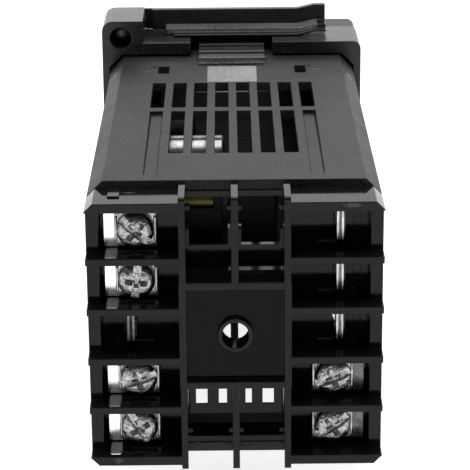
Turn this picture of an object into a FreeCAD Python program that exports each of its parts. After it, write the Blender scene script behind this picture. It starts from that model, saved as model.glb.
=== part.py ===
import FreeCAD, Part
import math
import os

# Panel-mounting temperature controller of the 48 x 48 mm size: a square case that is pushed
# through a panel cut-out from the front and held by a sliding frame from behind.
# Frame: +Z up, the display looks along -Y and the wiring terminals along +Y.
# Origin: centre of the plane where the bezel's flange seats on the panel.
# Lengths are in millimetres.

# --- case -------------------------------------------------------------------------------
case_half = 22.4             # half the width and height of the case
case_length = 92.2           # panel seat to the case's rear end
case_wall = 1.6
case_chamfer = 2.4           # flat along each long corner
case_rebate = 0.6            # depth that the case's front end sits into the bezel
rebate_clearance = 0.1

# --- ventilation slots, the same in the top and the bottom --------------------------------
slot_width = 2.3
slot_pitch = 3.67
front_slots = 8
rear_slots = 6
front_slot_start = 34.0
front_slot_length = 16.4
slot_row_gap = 2.4
rear_slot_length = 25.0

# --- other features of the case's top and bottom -------------------------------------------
ramp_width = 2.2
ramp_length = 36.6
ramp_depth = 0.6
rack_width = 8.8
rack_tooth_pitch = 0.8
rack_teeth = 19
rack_depth = 0.5
latch_hole_width = 2.0
latch_hole_length = 5.3
latch_hole_front = 21.9
latch_hole_inset = 10.05     # from the case's side
latch_notch = 0.7

# --- terminal block ------------------------------------------------------------------------
block_length = 7.8           # case end to the rear face
block_step = 1.2             # the block is lower than the case at the top and the bottom
block_chamfer = 1.3
spigot_length = 5.0
spigot_wall = 1.0
spigot_clearance = 0.1
rows = 5
shelf = 1.09
top_wall = 1.48
end_extra = 0.26             # the top and bottom rows are this much taller
column_width = 14.5          # case side to the middle of the wall beside the channel
inner_wall = 1.0
rib = 1.05
fin_step = 0.8               # height of the fins above the block's top
fin_rear_radius = 0.5
side_wall = 1.9
side_wall_setback = 3.0
back_wall = 1.3
bar_gap = 1.09
bar_height = 2.4
box_wall = 1.1
plate_recess = 1.4
plate_thickness = 1.2
collar_outer = 5.4
collar_bore = 4.1
collar_proud = 1.0
collar_length = 4.2
peg_diameter = 0.8
peg_length = 1.0
peg_offset = 3.65            # from the middle of the compartment towards the side wall
peg_drop = 2.6
pedestal_side = 4.6
nub_diameter = 0.8           # on both sides of each half of the channel
nub_z = 18.3
nub_length = 1.2
gusset_proud = 0.5           # on the channel's walls, above the cross bars
gusset_length = 2.3
gusset_height = 3.3
tab_width = 1.8              # raised tab on the block's top, beside the left column
tab_length = 4.8
tab_inset = 4.3              # from the case's side to the tab's middle
tab_proud = 0.25

# --- terminals -----------------------------------------------------------------------------
screw_offset = 0.45          # screws sit this far outside the middle of their compartments
head_diameter = 5.3
head_height = 2.2
head_rear = 2.0              # head's face below the block's rear face
head_slot_width = 0.9
head_slot_depth = 0.9
cross_arm = 3.0
shank_diameter = 2.9
shank_length = 8.4
shank_clearance = 0.1
washer_clearance = 0.285
washer_thickness = 0.8
plate_clearance = 0.335
plate_side_gap = 0.75
plate_metal = 0.8
tail_width = 2.4
tail_metal = 0.8
tail_length = 10.0
tail_gap = 0.15              # between a contact's tail and the circuit board beside it
blade_offset = 1.55
blade_width = 1.5
blade_thickness = 1.0
blade_top_clearance = 0.235
blade_bottom_clearance = 0.835
blade_setback = 5.6
blade_flare = 1.2

# --- bezel, window, displays and keys --------------------------------------------------------
bezel_flange = 1.6           # beyond the case on every side
bezel_depth = 9.5
bezel_corner = 1.5
bezel_edge = 0.8
bezel_wall = 1.6
bezel_skirt_length = 6.0
bezel_skirt_wall = 1.2
skirt_clearance = 0.15
window_border = 4.5
window_key_gap = 5.1         # top of the keys to the window
window_thickness = 1.5
window_recess = 0.4
window_ledge = 1.0
window_clearance = 0.1
keys = 4
key_gap = 2.2
key_height = 5.0
key_margin = 0.3
key_rise = 8.4               # middle of the keys above the bezel's lower edge
key_proud = 0.7
key_clearance = 0.25
key_flange = 0.8
key_flange_thickness = 0.8
key_travel_gap = 0.7
key_stem = 2.4
board_thickness = 1.6
display_board_y = 1.8
display_board_clearance = 0.25
digit_clearance = 0.5
digit_side_margin = 3.0
digit_top_margin = 0.9
digit_low_margin = 0.8
digit_gap = 3.0
setpoint_digit_height = 8.4
setpoint_digit_inset = 3.0
lamp_width = 1.6
lamp_height = 2.6
lamp_gap = 0.6
lamps = 3
switch_side = 6.0
switch_height = 2.6
switch_stem = 3.0

# --- circuit boards and what stands on them --------------------------------------------------
side_board_setback = 2.6     # from the case's inner wall
side_board_front_gap = 0.2
side_board_rear_gap = 9.2    # from the case's rear end
side_board_margin = 3.3
header_length = 6.0
header_width = 3.0
header_height = 24.0
transformer_width = 15.6
transformer_length = 16.0
transformer_height = 13.0
transformer_rear_gap = 6.7
transformer_drop = 1.5       # below the case's ceiling
core_lamination = 3.6
coil_margin = 1.3
can_diameter = 8.0
can_length = 15.1
can_y = 53.0
can_drop = 6.8
can_groove = 0.4
cap_diameter = 8.0
cap_length = 10.0
cap_y = 38.0
relay_length = 18.5
relay_width = 9.0
relay_height = 14.0
relay_y = 26.0

# --- mounting frame ---------------------------------------------------------------------------
frame_side = 1.6             # outside the case at the sides
frame_top = 2.6              # outside the case at the top and the bottom
frame_front = 2.2            # leaves room for a 2 mm panel
frame_depth = 12.3
frame_clearance = 0.25
frame_corner = 1.5
boss_width = 7.6
boss_height = 4.1
boss_corner = 2.0
boss_hole = 4.0
boss_hole_inset = 3.5
boss_hole_drop = 3.2
boss_thread = 3.0
boss_head_depth = 5.4
ejector_mark_diameter = 1.7  # round marks in the rear edge, above and below
ejector_mark_depth = 0.15
ejector_mark_places = (17.2, 10.3, -10.5)
lever_gap_half = 7.6
lever_gap_front = 4.5

# --- release levers ----------------------------------------------------------------------------
lever_clearance = 0.3
lever_lift = 0.1             # running gap above the frame
lever_wall_front = 2.5
lever_wall_rear = 4.2
lever_neck = 1.1             # thin strip that bends, between the boss and the arm
lever_neck_thickness = 0.8
upper_ledge_rear = 8.0
upper_ledge_height = 1.0
upper_ledge_inset = 2.7      # from the arm's root end
lower_ledge_rear = 10.0
lower_ledge_height = 0.35
lower_ledge_inset = 4.2
lever_tip_inset = 4.6        # from the case's side
lever_tip_bend = 5.2         # length of the turned-up tip
lever_tip_flat = 2.2
lever_tip_rise = 0.7
tongue_half_width = 6.1
tongue_rear = 20.4
tongue_thickness = 1.35
tongue_web = 2.4
tongue_lift = 0.12           # running gap between the tongue and the rack's crests
tongue_rib = 0.35
tongue_rib_length = 0.9

# --- clamp screws ---------------------------------------------------------------------------
clamp_head_diameter = 3.6
clamp_head_height = 1.6
clamp_length = 6.2
clamp_slot = 0.6

# --- places worked out from the sizes above --------------------------------------------------
rear_face = case_length + block_length
case_inner = case_half - case_wall
block_top = case_half - block_step
fin_top = block_top + fin_step
row_pitch = (2 * (block_top - top_wall - end_extra) + shelf) / rows
terminal_height = row_pitch - shelf
ceiling = block_top - top_wall
inner_wall_x = case_half - column_width
terminal_inner = inner_wall_x + inner_wall / 2
box_half_width = inner_wall_x - inner_wall / 2
box_half_height = row_pitch - box_wall / 2
bar_low = row_pitch + box_wall / 2 + bar_gap
bar_high = bar_low + bar_height
latch_hole_x = case_half - latch_hole_inset
case_inner_chamfer = case_chamfer - case_wall * (2 - math.sqrt(2))
rear_slot_start = front_slot_start + front_slot_length + slot_row_gap
spigot_half = case_inner - spigot_clearance
spigot_inner = spigot_half - spigot_wall
side_wall_inner = case_half - side_wall
screw_x = (terminal_inner + side_wall_inner) / 2 + screw_offset
peg_x = (terminal_inner + side_wall_inner) / 2 + peg_offset
blade_x = (terminal_inner + side_wall_inner) / 2 + blade_offset
washer_side = terminal_height - 2 * washer_clearance
plate_height = terminal_height - 2 * plate_clearance
plate_inner_x = screw_x - washer_side / 2
plate_outer_x = side_wall_inner - plate_side_gap
row_places = [row_pitch * ((rows - 1) / 2 - row) for row in range(rows)]
head_rear_y = rear_face - head_rear
head_seat_y = head_rear_y - head_height
washer_front_y = head_seat_y - washer_thickness
plate_front_y = washer_front_y - plate_metal
fitted = [(1, 0), (1, 1), (1, 3), (1, 4), (-1, 3), (-1, 4)]
unfitted = [(1, 2), (-1, 0), (-1, 1), (-1, 2)]
bezel_half = case_half + bezel_flange
window_half_width = bezel_half - window_border
window_high = bezel_half - window_border
key_pitch = 2 * (case_inner - key_margin - key_clearance) / keys
key_width = key_pitch - key_gap
key_z = key_rise - bezel_half
window_low = key_z + key_height / 2 + window_key_gap
skirt_half = case_inner - skirt_clearance
skirt_inner = skirt_half - bezel_skirt_wall
digit_half_width = window_half_width - window_ledge - digit_side_margin
digit_top = window_high - window_ledge - digit_top_margin
setpoint_digit_z = window_low + window_ledge + digit_low_margin + setpoint_digit_height / 2
process_digit_low = setpoint_digit_z + setpoint_digit_height / 2 + digit_gap
process_digit_height = digit_top - process_digit_low
process_digit_z = (digit_top + process_digit_low) / 2
side_board_x = case_inner - side_board_setback - board_thickness / 2
board_face = side_board_x - board_thickness / 2
side_board_half = case_inner - side_board_margin
tail_x = side_board_x + board_thickness / 2 + tail_gap + tail_metal / 2
can_z = case_inner - can_drop
frame_rear = frame_front + frame_depth
frame_inner = case_half + frame_clearance
frame_half_width = case_half + frame_side
frame_half_height = case_half + frame_top
boss_inner_x = frame_half_width - boss_width
boss_top = frame_half_height + boss_height
boss_hole_x = frame_half_width - boss_hole_inset
boss_hole_z = boss_top - boss_hole_drop
lever_tip_x = lever_tip_inset - case_half


def vec(x, y, z):
    return FreeCAD.Vector(x, y, z)


def block(x0, x1, y0, y1, z0, z1):
    """Box between two corners."""
    return Part.makeBox(x1 - x0, y1 - y0, z1 - z0, vec(x0, y0, z0))


def centred(width, height, y0, y1, x=0.0, z=0.0):
    """Box of a given width and height about (x, z)."""
    return block(x - width / 2, x + width / 2, y0, y1, z - height / 2, z + height / 2)


def rod(diameter, y0, y1, x=0.0, z=0.0):
    """Cylinder along Y."""
    return Part.makeCylinder(diameter / 2, y1 - y0, vec(x, y0, z), vec(0, 1, 0))


def across(points, y0, y1):
    """Prism whose section is given as (x, z) points, from y0 to y1."""
    ring = [vec(x, y0, z) for x, z in points]
    return Part.Face(Part.makePolygon(ring + ring[:1])).extrude(vec(0, y1 - y0, 0))


def along(points, x0, x1):
    """Prism whose section is given as (y, z) points, from x0 to x1."""
    ring = [vec(x0, y, z) for y, z in points]
    return Part.Face(Part.makePolygon(ring + ring[:1])).extrude(vec(x1 - x0, 0, 0))


def octagon(half_width, half_height, chamfer, y0, y1):
    """Square bar with a flat along each corner."""
    w = half_width
    h = half_height
    c = chamfer
    points = [(w, h - c), (w - c, h), (c - w, h), (-w, h - c),
              (-w, c - h), (c - w, -h), (w - c, -h), (w, c - h)]
    return across(points, y0, y1)


def edges_along(shape, axis, test):
    """Straight edges along an axis whose middle passes a test."""
    found = []
    for edge in shape.Edges:
        start = edge.Vertexes[0].Point
        end = edge.Vertexes[-1].Point
        run = end - start
        if run.Length > 1e-6 and abs(abs(run.dot(axis)) / run.Length - 1) < 1e-6:
            if test((start + end) * 0.5):
                found.append(edge)
    return found


def rounded(width, height, radius, y0, y1, x=0.0, z=0.0):
    """Box along Y with its four long edges rounded."""
    shape = centred(width, height, y0, y1, x, z)
    return shape.makeFillet(radius, edges_along(shape, vec(0, 1, 0), lambda p: True))


def half_turn(shape):
    """The same shape turned half a turn about the controller's long axis."""
    turned = shape.copy()
    turned.rotate(vec(0, 0, 0), vec(0, 1, 0), 180)
    return turned


def mirrored(shape):
    """The same shape mirrored left to right."""
    return shape.mirror(vec(0, 0, 0), vec(1, 0, 0))


def export(name, shape):
    shape.exportStep("parts/" + name + ".step")


# --- case ---------------------------------------------------------------------------------

def slot_row(count, start, length):
    """Slots through the top wall, spread evenly about the middle."""
    slots = []
    for index in range(count):
        x = slot_pitch * (index - (count - 1) / 2)
        slots.append(centred(slot_width, case_wall * 3, start, start + length, x, case_half))
    return slots


def ramp():
    """Shallow groove that runs out towards the rear."""
    x = slot_pitch * (front_slots - 1) / 2
    start = rear_slot_start
    points = [(start, case_half + 1), (start, case_half - ramp_depth),
              (start + ramp_length, case_half), (start + ramp_length, case_half + 1)]
    return along(points, x - ramp_width / 2, x + ramp_width / 2)


def rack_cut():
    """What is cut away to leave ratchet teeth that hold against a pull to the rear."""
    points = []
    start = front_slot_start - slot_row_gap / 4 - rack_teeth * rack_tooth_pitch
    for tooth in range(rack_teeth):
        crest = start + tooth * rack_tooth_pitch
        points.append((crest, case_half))
        points.append((crest + rack_tooth_pitch, case_half - rack_depth))
    points.append((start + rack_teeth * rack_tooth_pitch, case_half + 1))
    points.append((start, case_half + 1))
    return along(points, -rack_width / 2, rack_width / 2)


def latch_holes():
    """Window for the bezel's snap hook, with the small notch beside it."""
    end = latch_hole_front + latch_hole_length
    hole = centred(latch_hole_width, case_wall * 3, latch_hole_front, end, latch_hole_x, case_half)
    notch_x = latch_hole_x + latch_hole_width / 2 + latch_notch
    notch = centred(latch_notch, case_wall, latch_hole_front, latch_hole_front + latch_notch,
                    notch_x, case_half)
    return [hole, notch]


def make_case():
    outer = octagon(case_half, case_half, case_chamfer, -case_rebate, case_length)
    inner = octagon(case_inner, case_inner, case_inner_chamfer, -1, case_length + 1)
    tube = outer.cut(inner)
    cuts = slot_row(front_slots, front_slot_start, front_slot_length)
    cuts += slot_row(rear_slots, rear_slot_start, rear_slot_length)
    cuts += [rack_cut(), ramp(), mirrored(ramp())]
    for piece in latch_holes():
        cuts += [piece, mirrored(piece)]
    cuts += [half_turn(piece) for piece in cuts]
    return tube.cut(cuts).removeSplitter()


# --- terminal block -----------------------------------------------------------------------

def terminal_columns():
    """Shelves, back wall, top and bottom walls of the left column, before mirroring."""
    walls = []
    for level in range(rows - 1):
        z = row_pitch * ((rows - 2) / 2 - level)
        walls.append(block(inner_wall_x, case_half, case_length, rear_face,
                           z - shelf / 2, z + shelf / 2))
    walls.append(block(inner_wall_x, case_half, case_length, rear_face, ceiling, block_top))
    walls.append(block(inner_wall_x, case_half, case_length, rear_face, -block_top, -ceiling))
    walls.append(block(side_wall_inner, case_half, case_length, rear_face - side_wall_setback,
                       -ceiling, ceiling))
    walls.append(block(inner_wall_x, spigot_inner + spigot_wall / 2, case_length - back_wall,
                       case_length, -spigot_inner, spigot_inner))
    return walls


def upright(x, thickness, height):
    """Full-height wall along the channel at x, its rear corners rounded."""
    wall = block(x - thickness / 2, x + thickness / 2, case_length, rear_face, -height, height)
    rear = edges_along(wall, vec(1, 0, 0), lambda p: p.y > rear_face - 0.01)
    return wall.makeFillet(fin_rear_radius, rear)


def terminal_supports():
    """Pedestals behind the screw plates and pegs beside the bare contacts."""
    shapes = []
    for side, row in fitted:
        z = row_places[row]
        shapes.append(centred(pedestal_side, pedestal_side, case_length - 0.1, plate_front_y,
                              side * screw_x, z))
    for side, row in unfitted:
        z = row_places[row] - peg_drop
        shapes.append(rod(peg_diameter, case_length - 0.1, case_length + peg_length, side * peg_x, z))
    return shapes


def terminal_holes():
    """Screw holes, contact slots and the bore of the collar."""
    holes = []
    for side, row in fitted:
        holes.append(rod(shank_diameter + 2 * shank_clearance, case_length - back_wall - 1,
                         plate_front_y + 1, side * screw_x, row_places[row]))
    for side, row in fitted + unfitted:
        holes.append(centred(tail_metal + 2 * shank_clearance, tail_width + 2 * shank_clearance,
                             case_length - back_wall - 1, plate_front_y + 0.1,
                             side * tail_x, row_places[row]))
    return holes


def channel_details():
    """Nubs and gussets on the channel's walls, both sides of each half."""
    shapes = []
    for wall in (inner_wall_x - inner_wall / 2, rib / 2 + gusset_proud):
        for side in (-1, 1):
            x = side * (wall - gusset_proud / 2)
            for z in (-nub_z, nub_z):
                shapes.append(rod(nub_diameter, case_length - 0.1, case_length + nub_length, x, z))
            shapes.append(centred(gusset_proud, gusset_height, case_length - 0.1,
                                  case_length + gusset_length, x,
                                  bar_high + gusset_height / 2))
    return shapes


def top_tab():
    """Raised tab on the block's top."""
    x = case_half - tab_inset
    return block(x - tab_width / 2, x + tab_width / 2, case_length, case_length + tab_length,
                 block_top - top_wall / 2, block_top + tab_proud)


def box_hollow():
    """Inside of the square box around the collar."""
    return centred(2 * box_half_width, 2 * box_half_height, case_length - 1, rear_face + 1)


def collar_parts():
    """Square recessed plate with a raised ring and a tube into the case."""
    frame = centred(2 * box_half_width + 2 * box_wall, 2 * box_half_height + 2 * box_wall,
                    case_length, rear_face)
    frame = frame.cut(box_hollow())
    plate_rear = rear_face - plate_recess
    plate = centred(2 * box_half_width + box_wall, 2 * box_half_height + box_wall,
                    plate_rear - plate_thickness, plate_rear)
    ring_rear = plate_rear + collar_proud
    ring = rod(collar_outer, ring_rear - collar_length, ring_rear)
    bore = rod(collar_bore, ring_rear - collar_length - 1, ring_rear + 1)
    return frame.fuse([plate, ring]).cut(bore)


def make_terminal_block():
    spigot = octagon(spigot_half, spigot_half, case_inner_chamfer, case_length - spigot_length,
                     case_length)
    spigot = spigot.cut(centred(2 * spigot_inner, 2 * spigot_inner,
                                case_length - spigot_length - 1, case_length + 1))
    walls = terminal_columns()
    walls += [mirrored(wall) for wall in walls]
    for side in (-1, 1):
        walls.append(upright(side * inner_wall_x, inner_wall, fin_top))
        walls.append(block(side * inner_wall_x - inner_wall / 2, side * inner_wall_x + inner_wall / 2,
                           case_length - back_wall, case_length, -spigot_inner, spigot_inner))
    walls.append(block(-inner_wall_x, inner_wall_x, case_length - back_wall, case_length,
                       bar_low, bar_high))
    rib_wall = upright(0, rib, fin_top)
    rib_wall = rib_wall.cut(box_hollow())
    body = spigot.fuse(walls + [rib_wall, collar_parts()] + terminal_supports())
    envelope = octagon(case_half, block_top, block_chamfer, case_length - 20, rear_face + 20)
    fins = centred(2 * terminal_inner, 2 * fin_top, case_length, rear_face + 1)
    keep = envelope.fuse(fins)
    body = body.common(keep).fuse([top_tab()] + channel_details())
    return body.cut(terminal_holes()).removeSplitter()


# --- terminals ----------------------------------------------------------------------------

def pan_screw(x, z, turn):
    """Pan-head screw with a cross recess and a slot across the head."""
    head = rod(head_diameter, head_seat_y, head_rear_y, x, z)
    rim = [edge for edge in head.Edges if abs(edge.CenterOfMass.y - head_rear_y) < 0.01]
    head = head.makeChamfer(head_height * 0.4, rim)
    shank = rod(shank_diameter, head_rear_y - head_height - shank_length, head_seat_y + 0.1, x, z)
    tip = [edge for edge in shank.Edges
           if abs(edge.CenterOfMass.y - (head_seat_y - shank_length)) < 0.01]
    shank = shank.makeChamfer(shank_diameter * 0.15, tip)
    slot = centred(head_diameter + 1, head_slot_width, head_rear_y - head_slot_depth,
                   head_rear_y + 1, x, z)
    arm = centred(head_slot_width, cross_arm, head_rear_y - head_slot_depth * 1.4,
                  head_rear_y + 1, x, z)
    screw = head.fuse(shank).cut([slot, arm])
    screw.rotate(vec(x, 0, z), vec(0, 1, 0), turn)
    return screw


def make_screws():
    turns = [-40, 85, 15, -60, 20, 30]
    return Part.makeCompound([pan_screw(side * screw_x, row_places[row], turn)
                              for (side, row), turn in zip(fitted, turns)])


def make_washers():
    washers = []
    for side, row in fitted:
        plate = centred(washer_side, washer_side, washer_front_y, head_seat_y,
                        side * screw_x, row_places[row])
        hole = rod(shank_diameter + 2 * shank_clearance, washer_front_y - 1, head_seat_y + 1,
                   side * screw_x, row_places[row])
        washers.append(plate.cut(hole))
    return Part.makeCompound(washers)


def tail(side, row, rear):
    """Strip that carries a terminal's current forward to its circuit board."""
    return centred(tail_metal, tail_width, case_length - tail_length, rear,
                   side * tail_x, row_places[row])


def make_contact_plate(side, row):
    z = row_places[row]
    plate = block(plate_inner_x, plate_outer_x, plate_front_y, washer_front_y,
                  z - plate_height / 2, z + plate_height / 2)
    if side < 0:
        plate = mirrored(plate)
    hole = rod(shank_diameter + 2 * shank_clearance, plate_front_y - 1, washer_front_y + 1,
               side * screw_x, z)
    return plate.cut(hole).fuse(tail(side, row, plate_front_y + 0.1)).removeSplitter()


def make_contact_blade(side, row):
    """Bare contact of a position with no screw: a folded strip with a rounded lower end."""
    z = row_places[row]
    top = z + terminal_height / 2 - blade_top_clearance
    bottom = z - terminal_height / 2 + blade_bottom_clearance
    rear = rear_face - blade_setback
    front = rear - blade_thickness
    strip = block(blade_x - blade_width / 2, blade_x + blade_width / 2, front, rear, bottom, top)
    low = edges_along(strip, vec(0, 1, 0), lambda p: p.z < z)
    strip = strip.makeFillet(blade_width * 0.35, low)
    flare = across([(blade_x + blade_width / 2, top),
                    (blade_x - blade_width / 2 - blade_flare, top),
                    (blade_x - blade_width / 2, z),
                    (blade_x + blade_width / 2, z)], front, rear)
    reach = tail_x + tail_metal / 2
    bridge = block(blade_x, reach, front, rear, z - tail_width / 2, z + tail_width / 2)
    piece = strip.fuse([flare, bridge])
    if side < 0:
        piece = mirrored(piece)
    return piece.fuse(tail(side, row, rear)).removeSplitter()


# --- bezel, window, displays and keys ---------------------------------------------------------

def key_places():
    return [key_pitch * (index - (keys - 1) / 2) for index in range(keys)]


def make_bezel():
    front = -bezel_depth
    shell = rounded(2 * bezel_half, 2 * bezel_half, bezel_corner, front, 0)
    rim = [edge for edge in shell.Edges
           if max(vertex.Point.y for vertex in edge.Vertexes) < front + 0.01]
    shell = shell.makeChamfer(bezel_edge, rim)
    cavity = centred(2 * case_inner, 2 * case_inner, front + bezel_wall + window_thickness, 1)
    shell = shell.cut(cavity)
    middle = (window_low + window_high) / 2
    height = window_high - window_low
    sight = centred(2 * (window_half_width - window_ledge), height - 2 * window_ledge,
                    front - 1, front + 9, 0, middle)
    seat = centred(2 * window_half_width, height, front - 1,
                   front + window_recess + window_thickness, 0, middle)
    holes = [centred(key_width + 2 * key_clearance, key_height + 2 * key_clearance,
                     front - 1, front + 9, x, key_z) for x in key_places()]
    skirt = octagon(skirt_half, skirt_half, case_inner_chamfer, -1, bezel_skirt_length)
    skirt = skirt.cut(centred(2 * skirt_inner, 2 * skirt_inner, -2, bezel_skirt_length + 1))
    lip = centred(2 * case_inner + 1, 2 * case_inner + 1, -1.5, 0)
    lip = lip.cut(centred(2 * skirt_inner, 2 * skirt_inner, -2, 1))
    body = shell.cut([sight, seat] + holes).fuse([skirt, lip])
    outer = case_half + rebate_clearance
    rebate = octagon(outer, outer, case_chamfer, -case_rebate, 1)
    rebate = rebate.cut(octagon(skirt_half, skirt_half, case_inner_chamfer, -2, 2))
    return body.cut(rebate).removeSplitter()


def make_window():
    gap = window_clearance
    front = -bezel_depth + window_recess
    middle = (window_low + window_high) / 2
    return rounded(2 * (window_half_width - gap), window_high - window_low - 2 * gap, 0.6,
                   front, front + window_thickness, 0, middle)


def make_key(x):
    """Key cap with a retaining flange and a stem that reaches for its switch."""
    front = -bezel_depth - key_proud
    flange_front = -bezel_depth + bezel_wall + window_thickness + 0.05
    cap = rounded(key_width, key_height, 0.8, front, flange_front + 0.1, x, key_z)
    face = [edge for edge in cap.Edges
            if max(vertex.Point.y for vertex in edge.Vertexes) < front + 0.01]
    cap = cap.makeChamfer(0.4, face)
    flange = centred(key_width + 2 * key_flange, key_height + 2 * key_flange,
                     flange_front, flange_front + key_flange_thickness, x, key_z)
    stem_end = display_board_y - switch_height - 1.0 - key_travel_gap
    stem = rod(key_stem, flange_front, stem_end, x, key_z)
    return cap.fuse([flange, stem])


def make_switches():
    """Tact switches on the display board, one behind each key."""
    switches = []
    for x in key_places():
        body = centred(switch_side, switch_side, display_board_y - switch_height,
                       display_board_y, x, key_z)
        stem = rod(switch_stem, display_board_y - switch_height - 1.0,
                   display_board_y - switch_height, x, key_z)
        switches.append(body.fuse(stem))
    return Part.makeCompound(switches)


def display_module(half_width, height, z):
    """Digit module between the display board and the window."""
    front = -bezel_depth + window_recess + window_thickness + digit_clearance
    return centred(2 * half_width, height, front, display_board_y, 0, z)


def make_lamps():
    """Indicator lamps in a column beside the lower digits."""
    front = -bezel_depth + window_recess + window_thickness + digit_clearance
    return Part.makeCompound([
        centred(lamp_width, lamp_height, front, display_board_y, -digit_half_width,
                setpoint_digit_z + (index - (lamps - 1) / 2) * (lamp_height + lamp_gap))
        for index in range(lamps)])


def make_display_board():
    half = skirt_inner - display_board_clearance
    return centred(2 * half, 2 * half, display_board_y, display_board_y + board_thickness)


# --- circuit boards and components --------------------------------------------------------------

def side_board(side):
    front = display_board_y + board_thickness + side_board_front_gap
    return centred(board_thickness, 2 * side_board_half, front,
                   case_length - side_board_rear_gap, side * side_board_x)


def make_header(side):
    """Pin header in the corner between the display board and a side board."""
    back = display_board_y + board_thickness
    return centred(header_width, header_height, back, back + header_length,
                   side * (board_face - header_width / 2))


def transformer_shapes():
    """Laminated core and the taped coil on it, on the board at the left."""
    outer = board_face
    inner = outer - transformer_width
    transformer_rear = case_length - transformer_rear_gap
    front = transformer_rear - transformer_length
    transformer_top = case_inner - transformer_drop
    low = transformer_top - transformer_height
    core = block(inner, outer, front + core_lamination, transformer_rear - core_lamination,
                 low, transformer_top)
    margin = coil_margin
    coil = block(inner + margin, outer - margin, front, transformer_rear,
                 low + margin, transformer_top - margin)
    coil = coil.makeFillet(1.2, edges_along(coil, vec(1, 0, 0), lambda p: True))
    window = block(inner + margin, outer - margin, front, transformer_rear,
                   low + margin, transformer_top - margin)
    return core.cut(window), coil


def lying_can(diameter, length, x0, y, z):
    """Electrolytic capacitor lying across the case, with its rolled groove."""
    can = Part.makeCylinder(diameter / 2, length, vec(x0, y, z), vec(1, 0, 0))
    ring = Part.makeCylinder(diameter / 2 + 1, 0.8, vec(x0 + length - 2.2, y, z), vec(1, 0, 0))
    core = Part.makeCylinder(diameter / 2 - can_groove, 0.8, vec(x0 + length - 2.2, y, z),
                             vec(1, 0, 0))
    ends = [edge for edge in can.Edges if abs(edge.CenterOfMass.x - x0) < 0.01
            or abs(edge.CenterOfMass.x - x0 - length) < 0.01]
    return can.makeChamfer(0.5, ends).cut(ring.cut(core))


# --- mounting frame, levers and clamp screws -----------------------------------------------------

def frame_boss():
    """Tall corner block that holds a clamp screw."""
    boss = block(boss_inner_x, frame_half_width, frame_front, frame_rear, case_half, boss_top)
    corner = edges_along(boss, vec(0, 1, 0),
                         lambda p: p.x > frame_half_width - 0.01 and p.z > boss_top - 0.01)
    boss = boss.makeFillet(boss_corner, corner)
    return boss


def make_mounting_frame():
    ring = rounded(2 * frame_half_width, 2 * frame_half_height, frame_corner,
                   frame_front, frame_rear)
    opening = octagon(frame_inner, frame_inner, case_chamfer, frame_front - 1, frame_rear + 1)
    gap = block(-lever_gap_half, lever_gap_half, lever_gap_front, frame_rear + 1,
                case_half - 1, frame_half_height + 1)
    head = rod(boss_hole, frame_rear - boss_head_depth, frame_rear + 1, boss_hole_x, boss_hole_z)
    thread = rod(boss_thread, frame_front - 1, frame_rear, boss_hole_x, boss_hole_z)
    ring = ring.fuse([frame_boss(), half_turn(frame_boss())])
    mark_z = (frame_inner + frame_half_height) / 2
    cuts = [gap, head, thread]
    cuts += [rod(ejector_mark_diameter, frame_rear - ejector_mark_depth, frame_rear + 1, x, mark_z)
             for x in ejector_mark_places]
    cuts += [half_turn(cut) for cut in cuts]
    return ring.cut([opening] + cuts).removeSplitter()


def lever_section(root_x, low, high, y0, y1):
    """Part of the lever from its root end to the turned-up tip."""
    tip = lever_tip_x
    bend = tip + lever_tip_bend
    flat = tip + lever_tip_flat
    rise = lever_tip_rise
    points = [(root_x, low), (root_x, high), (bend, high), (flat, high + rise),
              (tip, high + rise), (tip, low + rise), (flat, low + rise), (bend, low)]
    return across(points, y0, y1)


def make_lever():
    """Release lever: bending neck, upright arm, two ledges behind it, and a ribbed tongue."""
    neck_x = boss_inner_x - lever_clearance
    root_x = neck_x - lever_neck
    low = frame_half_height + lever_lift
    top = boss_top - 0.1
    overlap = 0.1
    bend_strip = block(root_x - overlap, neck_x, lever_wall_front,
                       lever_wall_front + lever_neck_thickness, low, top)
    arm = lever_section(root_x, low, top, lever_wall_front, lever_wall_rear)
    upper = lever_section(root_x - upper_ledge_inset, low, low + upper_ledge_height,
                          lever_wall_rear - overlap, upper_ledge_rear)
    lower = lever_section(root_x - lower_ledge_inset, low, low + lower_ledge_height,
                          upper_ledge_rear - overlap, lower_ledge_rear)
    under = case_half + tongue_lift
    over = under + tongue_thickness
    tongue_front = lever_gap_front + lever_clearance
    web_rear = tongue_front + tongue_web
    tongue = block(-tongue_half_width, tongue_half_width, tongue_front, tongue_rear, under, over)
    web = block(-tongue_half_width, tongue_half_width, tongue_front, web_rear,
                under, low + upper_ledge_height / 2)
    ribs = []
    for share in (0.35, 0.68, 0.96):
        y = web_rear + (tongue_rear - web_rear) * share
        ribs.append(block(-tongue_half_width, tongue_half_width, y - tongue_rib_length / 2,
                          min(y + tongue_rib_length / 2, tongue_rear), over - overlap,
                          over + tongue_rib))
    return bend_strip.fuse([arm, upper, lower, tongue, web] + ribs).removeSplitter()


def clamp_screw():
    """Headless-looking clamp screw, backed off inside its corner block."""
    head_front = frame_rear - boss_head_depth + 0.05
    head = rod(clamp_head_diameter, head_front, head_front + clamp_head_height,
               boss_hole_x, boss_hole_z)
    rear = [edge for edge in head.Edges
            if abs(edge.CenterOfMass.y - head_front - clamp_head_height) < 0.01]
    head = head.makeChamfer(0.4, rear)
    shank = rod(boss_thread - 0.1, head_front - clamp_length, head_front + 0.1,
                boss_hole_x, boss_hole_z)
    slot = centred(clamp_head_diameter + 1, clamp_slot, head_front + clamp_head_height - 0.7,
                   head_front + clamp_head_height + 1, boss_hole_x, boss_hole_z)
    slot.rotate(vec(boss_hole_x, 0, boss_hole_z), vec(0, 1, 0), 35)
    return head.fuse(shank).cut(slot)


# --- build ----------------------------------------------------------------------------------

os.makedirs("parts", exist_ok=True)

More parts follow.
